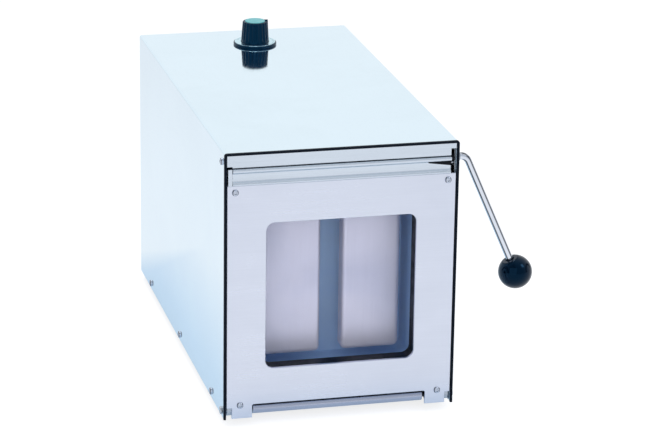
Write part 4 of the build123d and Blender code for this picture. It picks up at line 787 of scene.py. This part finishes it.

# %% Dark wedge, a painted reflection
# a black piece in the lip's hollow, put where the bead shows a dark reflection: a painted reflection, not a part of
# the machine
WEDGE_LEFT, WEDGE_RIGHT, WEDGE_TOP = 96.0, LIP_HALF, 282.6
wedge = bmesh.new()
wedge_corners = bmesh.ops.create_cube(wedge, size=1.0)["verts"]
wedge_length = WEDGE_RIGHT - WEDGE_LEFT
bmesh.ops.scale(wedge, verts=wedge_corners, vec=(wedge_length * MM, 2.2 * MM, 4.6 * MM))
bmesh.ops.translate(wedge, verts=wedge_corners, vec=place(WEDGE_LEFT + wedge_length / 2, 0.6, WEDGE_TOP - 2.3))
thin_end = [vert for vert in wedge_corners if vert.co.x < place(WEDGE_LEFT + 1, 0, 0).x]
bmesh.ops.scale(
    wedge, verts=thin_end, vec=(1.0, 0.6, 0.25),
    space=Matrix.Translation(-place(WEDGE_LEFT, 1.6, WEDGE_TOP)),
)
bmesh.ops.bevel(
    wedge, geom=wedge.edges[:], offset=0.25 * MM, offset_type="OFFSET", affect="EDGES",
    segments=3, profile=0.5, material=-1,
)
new_piece("dark_reflection_wedge", wedge, "door", "hook_black")

# %% [markdown]
# Room. A white bench and a white room: the bench is a plain pale floor that keeps the machine's
# shadow, and the room is the world. Rays from the camera, from gloss and through glass see white
# by colour, so the lamps themselves can stay modest. For gloss alone, the floor near the machine's
# foot carries a painted bluish shade.

# %% Floor
FLOOR_REACH = 30.0
floor_bmesh = bmesh.new()
bmesh.ops.create_grid(floor_bmesh, x_segments=1, y_segments=1, size=FLOOR_REACH)
floor_mesh = bpy.data.meshes.new("bench_top")
floor_bmesh.to_mesh(floor_mesh)
floor_bmesh.free()
bench_top = bpy.data.objects.new("bench_top", floor_mesh)
bpy.context.scene.collection.objects.link(bench_top)

floor_material, floor_tree, floor_shader = start_material("bench_top")
floor_shader.inputs["Base Color"].default_value = (0.45, 0.45, 0.46, 1.0)
floor_shader.inputs["Roughness"].default_value = 0.9
floor_shader.inputs["Specular IOR Level"].default_value = 0.0
floor_path = add_node(floor_tree, "LightPath")
floor_place = add_node(floor_tree, "TexCoord")
floor_parts = add_node(floor_tree, "SeparateXYZ")
floor_tree.links.new(floor_place.outputs["Object"], floor_parts.inputs[0])
beyond = []
for axis, middle, half in (("X", casing_middle, casing_size.x / 2), ("Y", (casing_low.y + casing_high.y) / 2, casing_size.y / 2)):
    offset = math_node(floor_tree, "SUBTRACT", floor_parts.outputs[axis], middle)
    offset = math_node(floor_tree, "ABSOLUTE", offset, 0.0)
    beyond.append(math_node(floor_tree, "SUBTRACT", offset, half * MM))
outside = math_node(floor_tree, "MAXIMUM", *beyond)
# painted shade: for gloss rays the floor glows bluish grey near the machine's foot, a painted shade seen in the
# casing's reflection
shade = spread(floor_tree, outside, 0.02, 0.10, 1.0, 0.0)
painted_shade_in_gloss = math_node(floor_tree, "MULTIPLY", floor_path.outputs["Is Glossy Ray"], shade)
floor_glow_with_painted_shade = blend_colours(floor_tree, painted_shade_in_gloss, (1.0, 1.0, 1.0, 1.0), (0.60, 0.74, 0.88, 1.0))
floor_tree.links.new(floor_glow_with_painted_shade, floor_shader.inputs["Emission Color"])
plain_view = math_node(
    floor_tree, "ADD", floor_path.outputs["Is Camera Ray"], floor_path.outputs["Is Transmission Ray"], clamp=True
)
glow = math_node(floor_tree, "MULTIPLY", plain_view, 0.80)
mirror_glow = math_node(floor_tree, "MULTIPLY", floor_path.outputs["Is Glossy Ray"], 0.66)
glow = math_node(floor_tree, "MAXIMUM", glow, mirror_glow)
floor_tree.links.new(glow, floor_shader.inputs["Emission Strength"])
bench_top.data.materials.append(floor_material)

# %% World
world = bpy.data.worlds.new("white_room")
world.use_nodes = True
bpy.context.scene.world = world
world_tree = world.node_tree
background = world_tree.nodes["Background"]
world_path = add_node(world_tree, "LightPath")
plain_rays = math_node(world_tree, "ADD", world_path.outputs["Is Camera Ray"], world_path.outputs["Is Transmission Ray"], clamp=True)
direction = add_node(world_tree, "TexCoord")
parts = add_node(world_tree, "SeparateXYZ")
world_tree.links.new(direction.outputs["Generated"], parts.inputs[0])
side = math_node(world_tree, "ABSOLUTE", parts.outputs["X"], 0.0)
near_side = math_node(world_tree, "ABSOLUTE", math_node(world_tree, "SUBTRACT", side, 0.90), 0.0)
curtain = spread(world_tree, near_side, 0.015, 0.05, 1.0, 0.0)
low_enough = spread(world_tree, parts.outputs["Z"], 0.55, 0.75, 1.0, 0.0)
curtain = math_node(world_tree, "MULTIPLY", curtain, low_enough)
front_side = spread(world_tree, parts.outputs["Y"], -0.7, 0.2, 1.0, 0.0)
walls = blend_colours(world_tree, front_side, (1.0, 1.0, 1.0, 1.0), (0.60, 0.64, 0.70, 1.0))
behind_lamp = spread(world_tree, parts.outputs["X"], -0.30, 0.0, 1.0, 0.0)
behind_lamp = math_node(world_tree, "MULTIPLY", behind_lamp, front_side)
walls = blend_colours(world_tree, behind_lamp, walls, (0.26, 0.29, 0.33, 1.0))
room = blend_colours(world_tree, curtain, walls, (0.12, 0.15, 0.20, 1.0))
glossy = blend_colours(world_tree, world_path.outputs["Is Glossy Ray"], (0.42, 0.44, 0.48, 1.0), room)
world_tree.links.new(blend_colours(world_tree, plain_rays, glossy, (1.0, 1.0, 1.0, 1.0)), background.inputs["Color"])


# %% Lamps
def softbox(name, where, towards, width, height, power, tint=(1.0, 1.0, 1.0)):
    """A rectangular lamp that faces a point."""
    data = bpy.data.lights.new(name, "AREA")
    data.shape = "RECTANGLE"
    data.size, data.size_y = width, height
    data.energy = power
    data.color = tint
    lamp = bpy.data.objects.new(name, data)
    lamp.matrix_world = Matrix.Translation(where) @ (where - towards).to_track_quat("Z", "Y").to_matrix().to_4x4()
    bpy.context.scene.collection.objects.link(lamp)
    return lamp


machine_heart = place(0, casing_size.y / 2, casing_size.z / 2)
overhead = softbox("overhead_box", machine_heart + Vector((-0.3, -0.4, 1.6)), machine_heart, 2.0, 1.5, 7.0)
overhead.visible_glossy = False
softbox("front_box", machine_heart + Vector((-0.9, -1.9, 0.7)), machine_heart, 1.9, 1.65, 7.2)
softbox("right_box", machine_heart + Vector((1.2, -0.9, 1.15)), machine_heart, 0.45, 0.55, 2.5)
softbox("glint_box", machine_heart + Vector((-0.14, 0.46, 1.3)), machine_heart, 0.45, 0.35, 2.2)
print("lamps", len(bpy.data.lights))

bpy.context.scene.view_settings.view_transform = "Standard"
